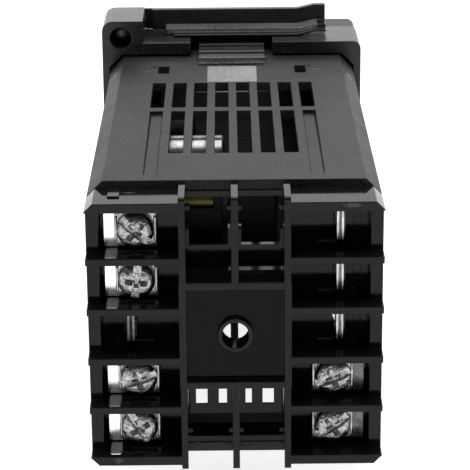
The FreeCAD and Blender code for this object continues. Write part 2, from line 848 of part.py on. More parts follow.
export("case_sleeve", make_case())
export("terminal_block", make_terminal_block())
export("terminal_screws", make_screws())
export("screw_washers", make_washers())
for number, (side, row) in enumerate(fitted, 1):
    export("contact_plate_%d" % number, make_contact_plate(side, row))
for number, (side, row) in enumerate(unfitted, 1):
    export("contact_blade_%d" % number, make_contact_blade(side, row))

export("front_bezel", make_bezel())
export("display_window", make_window())
for name, x in zip(("set_key", "shift_key", "down_key", "up_key"), key_places()):
    export(name, make_key(x))
export("key_switches", make_switches())
export("process_display", display_module(digit_half_width, process_digit_height,
                                         process_digit_z))
export("setpoint_display", display_module(digit_half_width - setpoint_digit_inset,
                                          setpoint_digit_height, setpoint_digit_z))
export("indicator_lamps", make_lamps())
export("display_board", make_display_board())

export("power_board", side_board(1))
export("control_board", side_board(-1))
export("power_header", make_header(1))
export("control_header", make_header(-1))
core, coil = transformer_shapes()
export("transformer_core", core)
export("transformer_coil", coil)
export("reservoir_capacitor", lying_can(can_diameter, can_length, board_face - can_length,
                                        can_y, can_z))
export("filter_capacitor", lying_can(cap_diameter, cap_length, board_face - cap_length,
                                     cap_y, can_z))
export("output_relay", block(-board_face, -board_face + relay_width, relay_y,
                             relay_y + relay_length, -relay_height / 2, relay_height / 2))

export("mounting_frame", make_mounting_frame())
lever = make_lever()
export("release_lever_top", lever)
export("release_lever_bottom", half_turn(lever))
export("clamp_screws", Part.makeCompound([clamp_screw(), half_turn(clamp_screw())]))
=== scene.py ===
import bpy
import bmesh
import math
from random import Random
from mathutils import Matrix, Vector
from mathutils.bvhtree import BVHTree


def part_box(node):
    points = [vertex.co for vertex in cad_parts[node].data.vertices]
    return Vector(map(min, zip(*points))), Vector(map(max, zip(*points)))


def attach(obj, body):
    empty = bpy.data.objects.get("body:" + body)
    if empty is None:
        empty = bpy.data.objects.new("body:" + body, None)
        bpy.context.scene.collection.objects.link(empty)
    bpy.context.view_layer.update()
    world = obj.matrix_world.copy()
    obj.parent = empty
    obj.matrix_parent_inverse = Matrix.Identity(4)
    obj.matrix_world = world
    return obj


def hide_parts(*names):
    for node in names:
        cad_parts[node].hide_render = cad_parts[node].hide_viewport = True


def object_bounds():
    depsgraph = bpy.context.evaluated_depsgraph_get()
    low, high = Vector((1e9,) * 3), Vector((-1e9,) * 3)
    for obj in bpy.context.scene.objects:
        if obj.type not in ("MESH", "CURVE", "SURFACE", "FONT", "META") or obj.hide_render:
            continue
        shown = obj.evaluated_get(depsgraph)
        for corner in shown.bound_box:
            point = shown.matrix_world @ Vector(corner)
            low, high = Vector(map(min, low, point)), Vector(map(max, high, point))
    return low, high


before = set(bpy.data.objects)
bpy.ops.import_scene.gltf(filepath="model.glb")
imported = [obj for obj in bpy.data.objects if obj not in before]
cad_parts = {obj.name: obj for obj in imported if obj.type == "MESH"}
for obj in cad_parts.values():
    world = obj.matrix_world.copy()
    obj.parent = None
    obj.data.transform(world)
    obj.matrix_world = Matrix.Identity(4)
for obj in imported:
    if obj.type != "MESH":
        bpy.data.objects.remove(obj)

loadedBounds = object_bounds()
mm = 0.001
scene = bpy.context.scene
scene.view_settings.view_transform = "Standard"
print("frame loaded")


# small helpers

def corners(node):
    low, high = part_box(node)
    return Vector(low), Vector(high)


def middle(node):
    low, high = corners(node)
    return (low + high) / 2


def camelName(node):
    first, *rest = node.split("_")
    return first + "".join(word.capitalize() for word in rest)


def makeObject(name, mesh):
    piece = bpy.data.objects.new(name, mesh)
    scene.collection.objects.link(piece)
    return piece


def meshFrom(bm, name):
    mesh = bpy.data.meshes.new(name)
    bm.to_mesh(mesh)
    bm.free()
    return mesh


def dress(piece, material, body, replaced=(), smoothAngle=30):
    piece.data.materials.clear()
    piece.data.materials.append(material)
    piece.data.shade_smooth()
    piece.data.set_sharp_from_angle(angle=math.radians(smoothAngle))
    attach(piece, body)
    if replaced:
        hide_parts(*replaced)


def finishPiece(bm, name, material, body, replaced=(), smoothAngle=30, edge=None,
                segments=2, edgeAngle=30):
    # edge is the width of the rounding in millimetres
    piece = makeObject(name, meshFrom(bm, name))
    if edge:
        edges = piece.modifiers.new("edges", "BEVEL")
        edges.width = edge * mm
        edges.segments = segments
        edges.angle_limit = math.radians(edgeAngle)
    dress(piece, material, body, replaced, smoothAngle)


def evaluatedMesh(piece, name):
    graph = bpy.context.evaluated_depsgraph_get()
    mesh = bpy.data.meshes.new_from_object(piece.evaluated_get(graph))
    mesh.name = name
    return mesh


# shader nodes

def addNode(tree, kind, sources=(), **values):
    # a source or a value goes to the socket of its name or number
    node = tree.nodes.new("ShaderNode" + kind)
    for label, value in values.items():
        node.inputs[label.replace("_", " ")].default_value = value
    for label, source in dict(sources).items():
        if isinstance(source, (int, float)):
            node.inputs[label].default_value = source
        else:
            tree.links.new(source, node.inputs[label])
    return node


def addMath(tree, kind, first, second=None, clamp=False):
    sources = {0: first} if second is None else {0: first, 1: second}
    node = addNode(tree, "Math", sources)
    node.operation = kind
    node.use_clamp = clamp
    return node.outputs[0]


def addVectorMath(tree, kind, first, second=None):
    sources = {0: first} if second is None else {0: first, 1: second}
    node = addNode(tree, "VectorMath", sources)
    node.operation = kind
    return node.outputs["Value" if kind == "LENGTH" else 0]


def addNoise(tree, vector, scale, detail=2.0, rough=0.5):
    return addNode(tree, "TexNoise", {"Vector": vector, "Scale": scale}, Detail=detail,
                   Roughness=rough).outputs["Fac"]


def addRange(tree, value, low, high, toLow=0.0, toHigh=1.0):
    return addNode(tree, "MapRange", {"Value": value}, From_Min=low, From_Max=high,
                   To_Min=toLow, To_Max=toHigh).outputs["Result"]


def mixColours(tree, factor, first, second):
    node = addNode(tree, "Mix")
    node.data_type = "RGBA"
    tree.links.new(factor, node.inputs["Factor"])
    for socket, value in ((node.inputs[6], first), (node.inputs[7], second)):
        if isinstance(value, tuple):
            socket.default_value = (*value, 1.0)
        else:
            tree.links.new(value, socket)
    return node.outputs[2]


# shader groups that several finishes share

def startGroup(name, inputs, outputs):
    # every group takes a Vector; inputs gives the other labels with their usual values
    group = bpy.data.node_groups.new(name, "ShaderNodeTree")
    group.interface.new_socket("Vector", in_out="INPUT", socket_type="NodeSocketVector")
    for label, value in inputs.items():
        kind = "NodeSocketVector" if isinstance(value, tuple) else "NodeSocketFloat"
        socket = group.interface.new_socket(label, in_out="INPUT", socket_type=kind)
        socket.default_value = value
    for label in outputs:
        group.interface.new_socket(label, in_out="OUTPUT", socket_type="NodeSocketFloat")
    start = group.nodes.new("NodeGroupInput")
    return group, start.outputs, group.nodes.new("NodeGroupOutput").inputs


def buildMouldGrain():
    # Height: the fine pits of a spark-eroded mould. Tone: broad, faint unevenness.
    group, given, end = startGroup("mouldGrain", {"Grain Scale": 3500.0, "Tone Scale": 60.0},
                                   ("Height", "Tone"))
    pits = addNoise(group, given["Vector"], given["Grain Scale"], 3.0, 0.6)
    broad = addNoise(group, given["Vector"], given["Tone Scale"], 4.0, 0.55)
    fineShare = 0.45
    tone = addMath(group, "ADD",
                   addMath(group, "MULTIPLY", addRange(group, pits, 0.35, 0.65), fineShare),
                   addMath(group, "MULTIPLY", addRange(group, broad, 0.3, 0.7), 1 - fineShare))
    group.links.new(pits, end["Height"])
    group.links.new(tone, end["Tone"])
    return group


def buildHandling():
    # Smudge: large soft patches from fingers. Dust: sparse tiny specks.
    group, given, end = startGroup("handlingMarks", {"Amount": 0.5}, ("Smudge", "Dust"))
    vector, amount = given["Vector"], given["Amount"]
    patches = addRange(group, addNoise(group, vector, 140.0, 5.0, 0.62), 0.42, 0.68)
    cells = addNode(group, "TexVoronoi", {"Vector": vector}, Scale=700.0)
    near = addRange(group, cells.outputs["Distance"], 0.06, 0.03)
    thin = addRange(group, addNoise(group, vector, 310.0, 1.0), 0.62, 0.7)
    dust = addMath(group, "MULTIPLY", addMath(group, "MULTIPLY", near, thin), amount, clamp=True)
    group.links.new(addMath(group, "MULTIPLY", patches, amount), end["Smudge"])
    group.links.new(dust, end["Dust"])
    return group


def buildRubbedMetal():
    # Scratch: short bright marks both ways. Cloud: the uneven lustre of plated steel.
    group, given, end = startGroup(
        "rubbedMetal", {"Stretch": (1.0, 1.0, 1.0), "Cloud Scale": 900.0}, ("Scratch", "Cloud"))
    scaled = addVectorMath(group, "MULTIPLY", given["Vector"], given["Stretch"])
    lines = addNoise(group, scaled, 2600.0, 3.0, 0.7)
    cloud = addNoise(group, given["Vector"], given["Cloud Scale"], 4.0, 0.6)
    group.links.new(addRange(group, lines, 0.3, 0.7), end["Scratch"])
    group.links.new(addRange(group, cloud, 0.3, 0.7), end["Cloud"])
    return group


def buildRegion():
    # Mask is one inside a block whose corners are Low and High, with the signs dropped
    group, given, end = startGroup("regionMask", {"Low": (0.0, 0.0, 0.0), "High": (1.0, 1.0, 1.0)},
                                   ("Mask",))
    plain = addVectorMath(group, "ABSOLUTE", given["Vector"])
    mask = None
    for first, second in ((plain, given["Low"]), (given["High"], plain)):
        split = addNode(group, "SeparateXYZ", {0: addVectorMath(group, "SUBTRACT", first, second)})
        for axis in "XYZ":
            inside = addMath(group, "GREATER_THAN", split.outputs[axis], 0.0)
            mask = inside if mask is None else addMath(group, "MULTIPLY", mask, inside)
    group.links.new(mask, end["Mask"])
    return group


def buildSpot():
    # Mask is a ragged blot round Centre, as wide as Reach along each axis
    group, given, end = startGroup(
        "spotMask", {"Centre": (0.0, 0.0, 0.0), "Reach": (0.001, 0.001, 0.001)}, ("Mask",))
    apart = addVectorMath(group, "SUBTRACT", given["Vector"], given["Centre"])
    far = addVectorMath(group, "LENGTH", addVectorMath(group, "DIVIDE", apart, given["Reach"]))
    ragged = addNoise(group, given["Vector"], 2200.0, 3.0, 0.6)
    edge = addMath(group, "SUBTRACT", addMath(group, "MULTIPLY", ragged, 2.0), far)
    group.links.new(addRange(group, edge, 0.0, 0.5), end["Mask"])
    return group


mouldGrain = buildMouldGrain()
handlingMarks = buildHandling()
rubbedMetal = buildRubbedMetal()
regionMask = buildRegion()
spotMask = buildSpot()


# materials

def startMaterial(name):
    material = bpy.data.materials.new(name)
    material.use_nodes = True
    tree = material.node_tree
    place = addNode(tree, "TexCoord").outputs["Object"]
    return material, tree, tree.nodes["Principled BSDF"], place


def useGroup(tree, group, vector, **values):
    node = tree.nodes.new("ShaderNodeGroup")
    node.node_tree = group
    tree.links.new(vector, node.inputs["Vector"])
    for label, value in values.items():
        node.inputs[label.replace("_", " ")].default_value = value
    return node.outputs


def useRegion(tree, vector, low, high):
    return useGroup(tree, regionMask, vector, Low=Vector(low) * mm, High=Vector(high) * mm)["Mask"]


def addBump(tree, shader, height, strength, distance):
    bump = addNode(tree, "Bump", {"Height": height}, Strength=strength, Distance=distance)
    tree.links.new(bump.outputs["Normal"], shader.inputs["Normal"])


def linkRange(tree, value, low, high, socket):
    tree.links.new(addRange(tree, value, 0.0, 1.0, low, high), socket)


def colour(tone):
    # a single number stands for a grey
    return tone if isinstance(tone, tuple) else (tone, tone, tone)


# painted shade: near-black colour and low specular for regions where little light gets in
paintedShadeColour, paintedShadeSpecular = (0.001, 0.001, 0.001), 0.02


def plastic(name, dark, light, rough, roughSpread, grain=3500.0, depth=0.000006, marks=0.3,
            dustTone=0.3, specular=0.5, spots=(), patches=(), paintedShades=()):
    # in millimetres: spots are (centre, reach, tone) and patches are (low, high, dark, light), both
    # painted highlights, and the painted shade regions are (low, high, strength), darkened where
    # little light gets in
    material, tree, shader, vector = startMaterial(name)
    texture = useGroup(tree, mouldGrain, vector, Grain_Scale=grain)
    handled = useGroup(tree, handlingMarks, vector, Amount=marks)
    base = mixColours(tree, texture["Tone"], colour(dark), colour(light))
    base = mixColours(tree, handled["Dust"], base, colour(dustTone))
    # painted highlights: each region takes its own lighter mottled colour
    for low, high, patchDark, patchLight in patches:
        mottled = mixColours(tree, texture["Tone"], colour(patchDark), colour(patchLight))
        base = mixColours(tree, useRegion(tree, vector, low, high), base, mottled)
    # painted highlights: each spot blends in a lighter tone
    for centre, reach, tone in spots:
        spot = useGroup(tree, spotMask, vector, Centre=Vector(centre) * mm,
                        Reach=Vector(reach) * mm)
        base = mixColours(tree, spot["Mask"], base, colour(tone))
    shader.inputs["Specular IOR Level"].default_value = specular
    # painted shade: inside these regions the colour goes near-black and the specular drops
    paintedShade = None
    for low, high, strength in paintedShades:
        mask = addMath(tree, "MULTIPLY", useRegion(tree, vector, low, high), strength)
        paintedShade = mask if paintedShade is None else addMath(tree, "MAXIMUM", paintedShade, mask)
    if paintedShade:
        base = mixColours(tree, paintedShade, base, paintedShadeColour)
        linkRange(tree, paintedShade, specular, paintedShadeSpecular, shader.inputs["Specular IOR Level"])
    tree.links.new(base, shader.inputs["Base Color"])
    uneven = addMath(tree, "MULTIPLY", texture["Tone"], roughSpread)
    total = addMath(tree, "ADD", addMath(tree, "ADD", uneven, rough - roughSpread / 2),
                    addMath(tree, "MULTIPLY", handled["Smudge"], roughSpread), clamp=True)
    tree.links.new(total, shader.inputs["Roughness"])
    addBump(tree, shader, texture["Height"], 1.0, depth)
    return material


def metal(name, dark, light, rough, roughSpread, stretch=(1.0, 1.0, 1.0), depth=0.000004,
          wave=0.0, cloud=900.0):
    # wave is the depth of the uneven surface that wear leaves
    material, tree, shader, vector = startMaterial(name)
    worn = useGroup(tree, rubbedMetal, vector, Stretch=stretch, Cloud_Scale=cloud)
    tree.links.new(mixColours(tree, worn["Cloud"], colour(dark), colour(light)),
                   shader.inputs["Base Color"])
    shader.inputs["Metallic"].default_value = 1.0
    uneven = addMath(tree, "MULTIPLY", worn["Scratch"], roughSpread)
    tree.links.new(addMath(tree, "ADD", uneven, rough), shader.inputs["Roughness"])
    height = addMath(tree, "MULTIPLY", worn["Scratch"], depth)
    if wave:
        height = addMath(tree, "ADD", height, addMath(tree, "MULTIPLY", worn["Cloud"], wave))
    addBump(tree, shader, height, 1.0, 1.0)
    return material


# painted highlights: lighter blots where facets and chamfers of the case catch light, and a thin
# streak along the edge of the -X chamfer
caseHighlightSpots = [((-15.2, 25.0, 22.4), (0.9, 0.6, 0.5), 0.12),
             ((15.2, 25.2, 22.4), (0.7, 0.5, 0.5), 0.11),
             ((21.2, 24.0, 21.2), (0.9, 2.4, 0.9), 0.16),
             ((-21.2, 26.0, 21.2), (0.9, 2.8, 0.9), 0.17),
             ((-22.0, 62.0, 20.8), (0.25, 9.0, 0.25), 0.10)]
# painted sheen: the rack's fine teeth painted much lighter, standing in for light their facets
# catch
rackPaintedSheen = [((0.0, 21.9, 21.6), (4.42, 33.0, 22.6), 0.26, 0.60)]
# painted shade: dark lines down the sides of the two ramp grooves
rampPaintedShade = [((13.66, 53.4, 21.5), (13.95, 89.2, 23.0), 0.9),
               ((11.74, 53.4, 21.5), (11.90, 89.2, 23.0), 0.7)]
casePlastic = plastic("casePlastic", (0.004, 0.004, 0.005), (0.050, 0.050, 0.051), 0.44, 0.16,
                      grain=2100.0, depth=0.000230, marks=0.35, specular=0.30, spots=caseHighlightSpots,
                      patches=rackPaintedSheen, paintedShades=rampPaintedShade)
# painted highlights: lighter blots at the block's top and bottom corners and on its top
blockHighlightSpots = [((-17.5, 100.0, 20.7), (1.5, 0.5, 0.4), 0.11),
              ((15.8, 94.5, 21.2), (1.1, 0.3, 0.3), 0.13),
              ((18.1, 100.0, -20.3), (0.8, 0.3, 0.5), 0.10)]
# painted light on the four pegs in the compartments, which sit in shade
blockHighlightSpots += [((x, 93.2, z), (0.55, 0.7, 0.6), 0.16)
               for x, z in ((-18.2, 12.7), (-18.2, 4.7), (-18.2, -3.3), (18.2, -3.3))]
# painted shade: the centre plate darkened, standing in for the dark reflection of its polished face
platePaintedShade = [((-1.0, 96.0, -1.0), (7.45, 99.5, 11.5), 0.55)]
blockPlastic = plastic("blockPlastic", (0.005, 0.005, 0.006), (0.014, 0.014, 0.015), 0.09, 0.06,
                       grain=2000.0, depth=0.000003, marks=0.5, specular=0.19,
                       spots=blockHighlightSpots, paintedShades=platePaintedShade)
# painted highlights: the ledge of each lever's foot and the thin lip under its tongue, painted
# lighter as if catching light from above
leverPaintedHighlights = [((-1.0, 4.25, 25.05), (16.2, 8.1, 27.1), 0.09, 0.24),
                ((-1.0, 20.2, 22.0), (6.2, 21.4, 23.2), 0.08, 0.30)]
framePlastic = plastic("framePlastic", (0.012, 0.012, 0.013), (0.028, 0.028, 0.029), 0.22, 0.12,
                       grain=1500.0, depth=0.000008, marks=0.5, specular=0.36,
                       patches=leverPaintedHighlights)
bezelPlastic = plastic("bezelPlastic", (0.020, 0.020, 0.021), (0.038, 0.038, 0.040), 0.46, 0.10,
                       grain=3000.0, depth=0.000012, marks=0.2)
bobbinPlastic = plastic("bobbinPlastic", 0.0015, 0.004, 0.5, 0.1, specular=0.2)
keyPlastic = plastic("keyPlastic", (0.10, 0.10, 0.11), (0.14, 0.14, 0.15), 0.42, 0.10,
                     grain=3600.0, marks=0.25)
keyMarkPlastic = plastic("keyMarkPlastic", (0.62, 0.62, 0.60), (0.70, 0.70, 0.68), 0.4, 0.1)
displayPlastic = plastic("displayPlastic", (0.035, 0.035, 0.037), (0.05, 0.05, 0.052), 0.5, 0.1)
segmentPlastic = plastic("segmentPlastic", (0.42, 0.36, 0.34), (0.5, 0.44, 0.42), 0.35, 0.1)
lampPlastic = plastic("lampPlastic", (0.36, 0.05, 0.03), (0.5, 0.1, 0.06), 0.25, 0.1)
switchPlastic = plastic("switchPlastic", 0.04, 0.07, 0.45, 0.1)
relayPlastic = plastic("relayPlastic", (0.008, 0.008, 0.009), (0.02, 0.02, 0.021), 0.4, 0.1)

foldedStretch = (3.0, 1.0, 0.3)
nickelSteel = metal("nickelSteel", (0.14, 0.14, 0.15), 0.46, 0.10, 0.12)
screwNickel = metal("screwNickel", (0.20, 0.20, 0.21), 0.60, 0.05, 0.12, wave=0.00008,
                    cloud=1600.0)
blackSteel = metal("blackSteel", 0.12, 0.28, 0.38, 0.15)
contactMetal = metal("contactMetal", (0.80, 0.80, 0.79), (0.93, 0.93, 0.92), 0.08, 0.10,
                     stretch=foldedStretch)
bladeMetal = metal("bladeMetal", 0.34, 0.62, 0.10, 0.12, stretch=foldedStretch)
dullBlade = metal("dullBlade", 0.10, 0.36, 0.38, 0.14, cloud=1800.0)
footMetal = metal("footMetal", (0.72, 0.72, 0.73), 0.90, 0.36, 0.12)
# a darker, rougher copy of the contact metal, for plates 5 and 6
wornContact = metal("wornContact", 0.03, 0.15, 0.18, 0.14, stretch=foldedStretch)
canAluminium = metal("canAluminium", (0.34, 0.34, 0.35), (0.52, 0.52, 0.53), 0.22, 0.14,
                     stretch=(0.2, 2.0, 2.0))
solderTin = metal("solderTin", 0.55, (0.75, 0.75, 0.74), 0.25, 0.15)


def boardMaterial():
    # green solder resist over a faint grid of tracks
    material, tree, shader, vector = startMaterial("boardLaminate")
    turned = addNode(tree, "Mapping", {"Vector": vector},
                     Rotation=(0.0, math.radians(90), math.radians(90)))
    bricks = addNode(tree, "TexBrick", {"Vector": turned.outputs["Vector"]}, Scale=160.0,
                     Mortar_Size=0.08).outputs["Fac"]
    tone = useGroup(tree, mouldGrain, vector, Grain_Scale=1200.0)["Tone"]
    base = mixColours(tree, bricks, (0.006, 0.045, 0.018), (0.014, 0.075, 0.03))
    base = mixColours(tree, addRange(tree, tone, 0.0, 1.0, 0.0, 0.4), base, (0.01, 0.05, 0.025))
    tree.links.new(base, shader.inputs["Base Color"])
    linkRange(tree, tone, 0.25, 0.4, shader.inputs["Roughness"])
    addBump(tree, shader, bricks, 0.5, 0.00002)
    return material


def layeredMaterial(name, dark, light, scale, metallic, rough):
    # thin edges stacked along Y: sheets of a core, or turns of tape
    material, tree, shader, vector = startMaterial(name)
    waves = addNode(tree, "TexWave", {"Vector": vector}, Scale=scale, Distortion=0.4)
    waves.bands_direction = "Y"
    bands = waves.outputs["Fac"]
    tone = useGroup(tree, mouldGrain, vector, Grain_Scale=900.0)["Tone"]
    tree.links.new(mixColours(tree, addMath(tree, "MULTIPLY", bands, tone), dark, light),
                   shader.inputs["Base Color"])
    linkRange(tree, tone, rough - 0.08, rough + 0.08, shader.inputs["Roughness"])
    shader.inputs["Metallic"].default_value = metallic
    addBump(tree, shader, bands, 0.6, 0.00003)
    return material


def windowMaterial():
    # smoked acrylic, faintly warm
    material, tree, shader, vector = startMaterial("smokedWindow")
    handled = useGroup(tree, handlingMarks, vector, Amount=0.5)
    texture = useGroup(tree, mouldGrain, vector, Grain_Scale=500.0)
    tree.links.new(mixColours(tree, texture["Tone"], (0.050, 0.026, 0.026),
                              (0.066, 0.036, 0.036)), shader.inputs["Base Color"])
    linkRange(tree, handled["Smudge"], 0.03, 0.16, shader.inputs["Roughness"])
    shader.inputs["Transmission Weight"].default_value = 0.9
    shader.inputs["IOR"].default_value = 1.49
    return material


boardLaminate = boardMaterial()
coreSteel = layeredMaterial("coreSteel", (0.03, 0.03, 0.032), (0.12, 0.12, 0.125), 900.0, 1.0, 0.45)
coilTape = layeredMaterial("coilTape", (0.30, 0.27, 0.02), (0.62, 0.58, 0.08), 120.0, 0.0, 0.3)
smokedWindow = windowMaterial()
print("materials made")


# camera, light and floor

cameraSetup = {"place": (0.00097, 0.3975, 0.1169), "pitch": 18.767, "yaw": -0.186, "roll": -0.504,
               "lens": 162.0, "shiftX": 0.0007, "shiftY": 0.0053}


def placeCamera(setup):
    pitch, yaw, roll = (math.radians(setup[key]) for key in ("pitch", "yaw", "roll"))
    forward = Vector((math.sin(yaw) * math.cos(pitch), -math.cos(yaw) * math.cos(pitch),
                      -math.sin(pitch)))
    right = forward.cross(Vector((0, 0, 1))).normalized()
    up = right.cross(forward)
    right, up = (math.cos(roll) * right + math.sin(roll) * up,
                 math.cos(roll) * up - math.sin(roll) * right)
    data = bpy.data.cameras.new("camera")
    data.lens = setup["lens"]
    data.sensor_width = 36.0
    data.shift_x = setup["shiftX"]
    data.shift_y = setup["shiftY"]
    data.clip_start = 0.01
    data.clip_end = 20.0
    camera = bpy.data.objects.new("camera", data)
    turn = Matrix((right, up, -forward)).transposed().to_4x4()
    camera.matrix_world = Matrix.Translation(Vector(setup["place"])) @ turn
    scene.collection.objects.link(camera)
    scene.camera = camera


placeCamera(cameraSetup)

lamps = {
    # place, aim, size, power
    "overheadPanel": ((0.0, 0.04, 0.6), (0.0, 0.04, 0.0), (0.5, 0.66), 2.6),
    "backPanel": ((0.0, -0.85, 0.42), (0.0, 0.0, 0.0), (1.6, 0.8), 4.6),
    "leftPanel": ((0.75, 0.0, 0.25), (0.0, 0.05, 0.0), (0.7, 0.6), 1.6),
    "rightPanel": ((-0.75, 0.0, 0.25), (0.0, 0.05, 0.0), (0.7, 0.6), 1.6),
}


def hangLamp(name, place, aim, size, power):
    data = bpy.data.lights.new(name, "AREA")
    data.shape = "RECTANGLE"
    data.size, data.size_y = size
    data.energy = power
    lamp = bpy.data.objects.new(name, data)
    lamp.location = place
    lamp.rotation_euler = (Vector(aim) - Vector(place)).to_track_quat("-Z", "Y").to_euler()
    lamp.visible_camera = False
    scene.collection.objects.link(lamp)


for lampName, lampSetup in lamps.items():
    hangLamp(lampName, *lampSetup)

surroundings = {"seen": 1.0, "diffuse": 0.13, "reflected": 0.12}


def buildWorld(setup):
    world = bpy.data.worlds.new("surroundings")
    scene.world = world
    world.use_nodes = True
    tree = world.node_tree
    background = tree.nodes["Background"]
    background.inputs["Color"].default_value = (1.0, 1.0, 1.0, 1.0)
    rays = addNode(tree, "LightPath").outputs
    total = setup["diffuse"]
    for ray, level in (("Camera", "seen"), ("Glossy", "reflected"), ("Transmission", "seen")):
        extra = addMath(tree, "MULTIPLY", rays["Is %s Ray" % ray], setup[level] - setup["diffuse"])
        total = addMath(tree, "ADD", extra, total)
    tree.links.new(total, background.inputs["Strength"])


buildWorld(surroundings)

floorSetup = {"reach": 3.0, "shown": 0.8, "mirrored": 0.9}


def layFloor(setup):
    bm = bmesh.new()
    bmesh.ops.create_grid(bm, x_segments=2, y_segments=2, size=setup["reach"])
    bmesh.ops.translate(bm, verts=bm.verts, vec=(0, 0, loadedBounds[0][2]))
    floor = makeObject("floor", meshFrom(bm, "floor"))
    material, tree, shader, vector = startMaterial("floorPaper")
    paper = addNoise(tree, vector, 3.0, 3.0)
    tree.links.new(mixColours(tree, paper, (0.80, 0.80, 0.80), (0.84, 0.84, 0.84)),
                   shader.inputs["Base Color"])
    shader.inputs["Roughness"].default_value = 0.9
    shader.inputs["Specular IOR Level"].default_value = 0.1
    rays = addNode(tree, "LightPath").outputs
    shown = addMath(tree, "MAXIMUM", rays["Is Camera Ray"], rays["Is Transmission Ray"])
    shown = addMath(tree, "MULTIPLY", shown, setup["shown"])
    mirrored = addMath(tree, "MULTIPLY", rays["Is Glossy Ray"], setup["mirrored"])
    shader.inputs["Emission Color"].default_value = (1.0, 1.0, 1.0, 1.0)
    tree.links.new(addMath(tree, "ADD", shown, mirrored), shader.inputs["Emission Strength"])
    floor.data.materials.append(material)


layFloor(floorSetup)
print("camera, light and floor placed")


# parts that keep their built form, with the small roundings a mould or a press leaves

flatDot = 0.99998      # neighbours whose normals agree this well are one flat region
roundShare = 0.42      # of an edge's shortest neighbour, the widest rounding
mergeReach = 0.000002


def flatRegions(bm):
    # neighbouring faces that lie in one plane share a number; areas are per number
    number, areas = {}, []
    for start in bm.faces:
        if start in number:
            continue
        number[start] = len(areas)
        total, waiting = 0.0, [start]
        while waiting:
            face = waiting.pop()
            total += face.calc_area()
            for edge in face.edges:
                for other in edge.link_faces:
                    if other not in number and other.normal.dot(start.normal) > flatDot:
                        number[other] = number[start]
                        waiting.append(other)
        areas.append(total)
    return number, areas


def settleNormals(mesh, angle=50):
    # each corner's normal leans to the largest flat region round it
    bm = bmesh.new()
    bm.from_mesh(mesh)
    bm.normal_update()
    number, areas = flatRegions(bm)
    limit = math.cos(math.radians(angle))
    normals = []
    for face in bm.faces:
        for loop in face.loops:
            seen, total = set(), Vector()
            for other in loop.vert.link_faces:
                if number[other] in seen or other.normal.dot(face.normal) < limit:
                    continue
                seen.add(number[other])
                total += other.normal * areas[number[other]]
            normals.append(tuple((total if total.length else face.normal).normalized()))
    bm.free()
    mesh.normals_split_custom_set(normals)


def weighEdges(bm, width, angle, wide):
    # short edges take a narrower rounding, so that neighbouring roundings never meet
    layer = bm.edges.layers.float.new("bevel_weight_edge")
    sharp = {edge for edge in bm.edges
             if len(edge.link_faces) == 2 and edge.calc_face_angle(0.0) > math.radians(angle)}
    widest = max([width] + [size for test, size in wide])
    for edge in sharp:
        near = min(other.calc_length() for vert in edge.verts for other in vert.link_edges
                   if other in sharp)
        size = width
        for test, wideSize in wide:
            size = wideSize if test(edge) else size
        edge[layer] = min(size, roundShare * near) / widest
    return widest


def gussetCorner(edge):
    # tiny facets where the gussets meet the cross bar, too small to round
    return any(abs(vert.co.x) < 1.5 * mm and 92.0 * mm < vert.co.y < 92.4 * mm
               and 8.8 * mm < vert.co.z < 15.6 * mm for vert in edge.verts)


def softenNode(node, material, body, slot, width, segments=2, angle=30, wide=(), reshape=None,
               strayShare=0.6):
    name = camelName(node)
    bm = bmesh.new()
    bm.from_mesh(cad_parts[node].data)
    bmesh.ops.remove_doubles(bm, verts=bm.verts, dist=mergeReach)
    if reshape:
        reshape(bm)
    base = BVHTree.FromBMesh(bm)
    widest = weighEdges(bm, width * mm, angle, [(test, size * mm) for test, size in wide])
    piece = makeObject(name, meshFrom(bm, name))
    bevel = piece.modifiers.new("edges", "BEVEL")
    bevel.width = widest
    bevel.segments = segments
    bevel.limit_method = "WEIGHT"
    bevel.use_clamp_overlap = False
    mesh = evaluatedMesh(piece, name)
    # corners that the rounding threw off the surface go back to it
    for vert in mesh.vertices:
        place, normal, face, distance = base.find_nearest(vert.co)
        if distance > strayShare * widest:
            vert.co = place
    piece.modifiers.clear()
    piece.data = mesh
    dress(piece, material, body, (node,), 180)
    settleNormals(mesh)


def ledgeEdge(edge):
    # outer edges of the lever's upper ledge, between its top and its rear face
    places = [vert.co for vert in edge.verts]
    if any(abs(place.y - 8.0 * mm) > 0.05 * mm for place in places):
        return False
    along = abs(places[0].x - places[1].x) > 0.5 * mm
    return along and all(abs(place.z) > 25.95 * mm for place in places)


def rootEdge(edge):
    # upright corner where the arm meets its thin neck
    places = [vert.co for vert in edge.verts]
    return all(abs(place.y - 4.2 * mm) < 0.05 * mm and abs(place.x) > 14.5 * mm
               and place.x * place.z > 0 for place in places)


tongueShape = {"start": 10.3, "length": 10.1, "reach": 2.0, "thinning": 0.46}


def thinTongue(bm):
    # the tongue grows thinner towards its free end
    start, length = tongueShape["start"], tongueShape["length"]
    under = corners("release_lever_top")[0].z
    for vert in bm.verts:
        height = abs(vert.co.z) - under
        if vert.co.y < start * mm or height > tongueShape["reach"] * mm:
            continue
        share = min(1.0, (vert.co.y / mm - start) / length)
        thinner = height * (1.0 - tongueShape["thinning"] * share)
        vert.co.z = math.copysign(under + thinner, vert.co.z)


edgeSizes = {"case": 0.12, "block": 0.14, "frame": 0.22, "lever": 0.18, "bezel": 0.15,
             "metal": 0.10, "inside": 0.12, "relay": 0.35, "window": 0.12, "lamp": 0.2,
             "key": 0.12}
leverOptions = {"wide": ((ledgeEdge, 0.75), (rootEdge, 0.35)), "reshape": thinTongue}
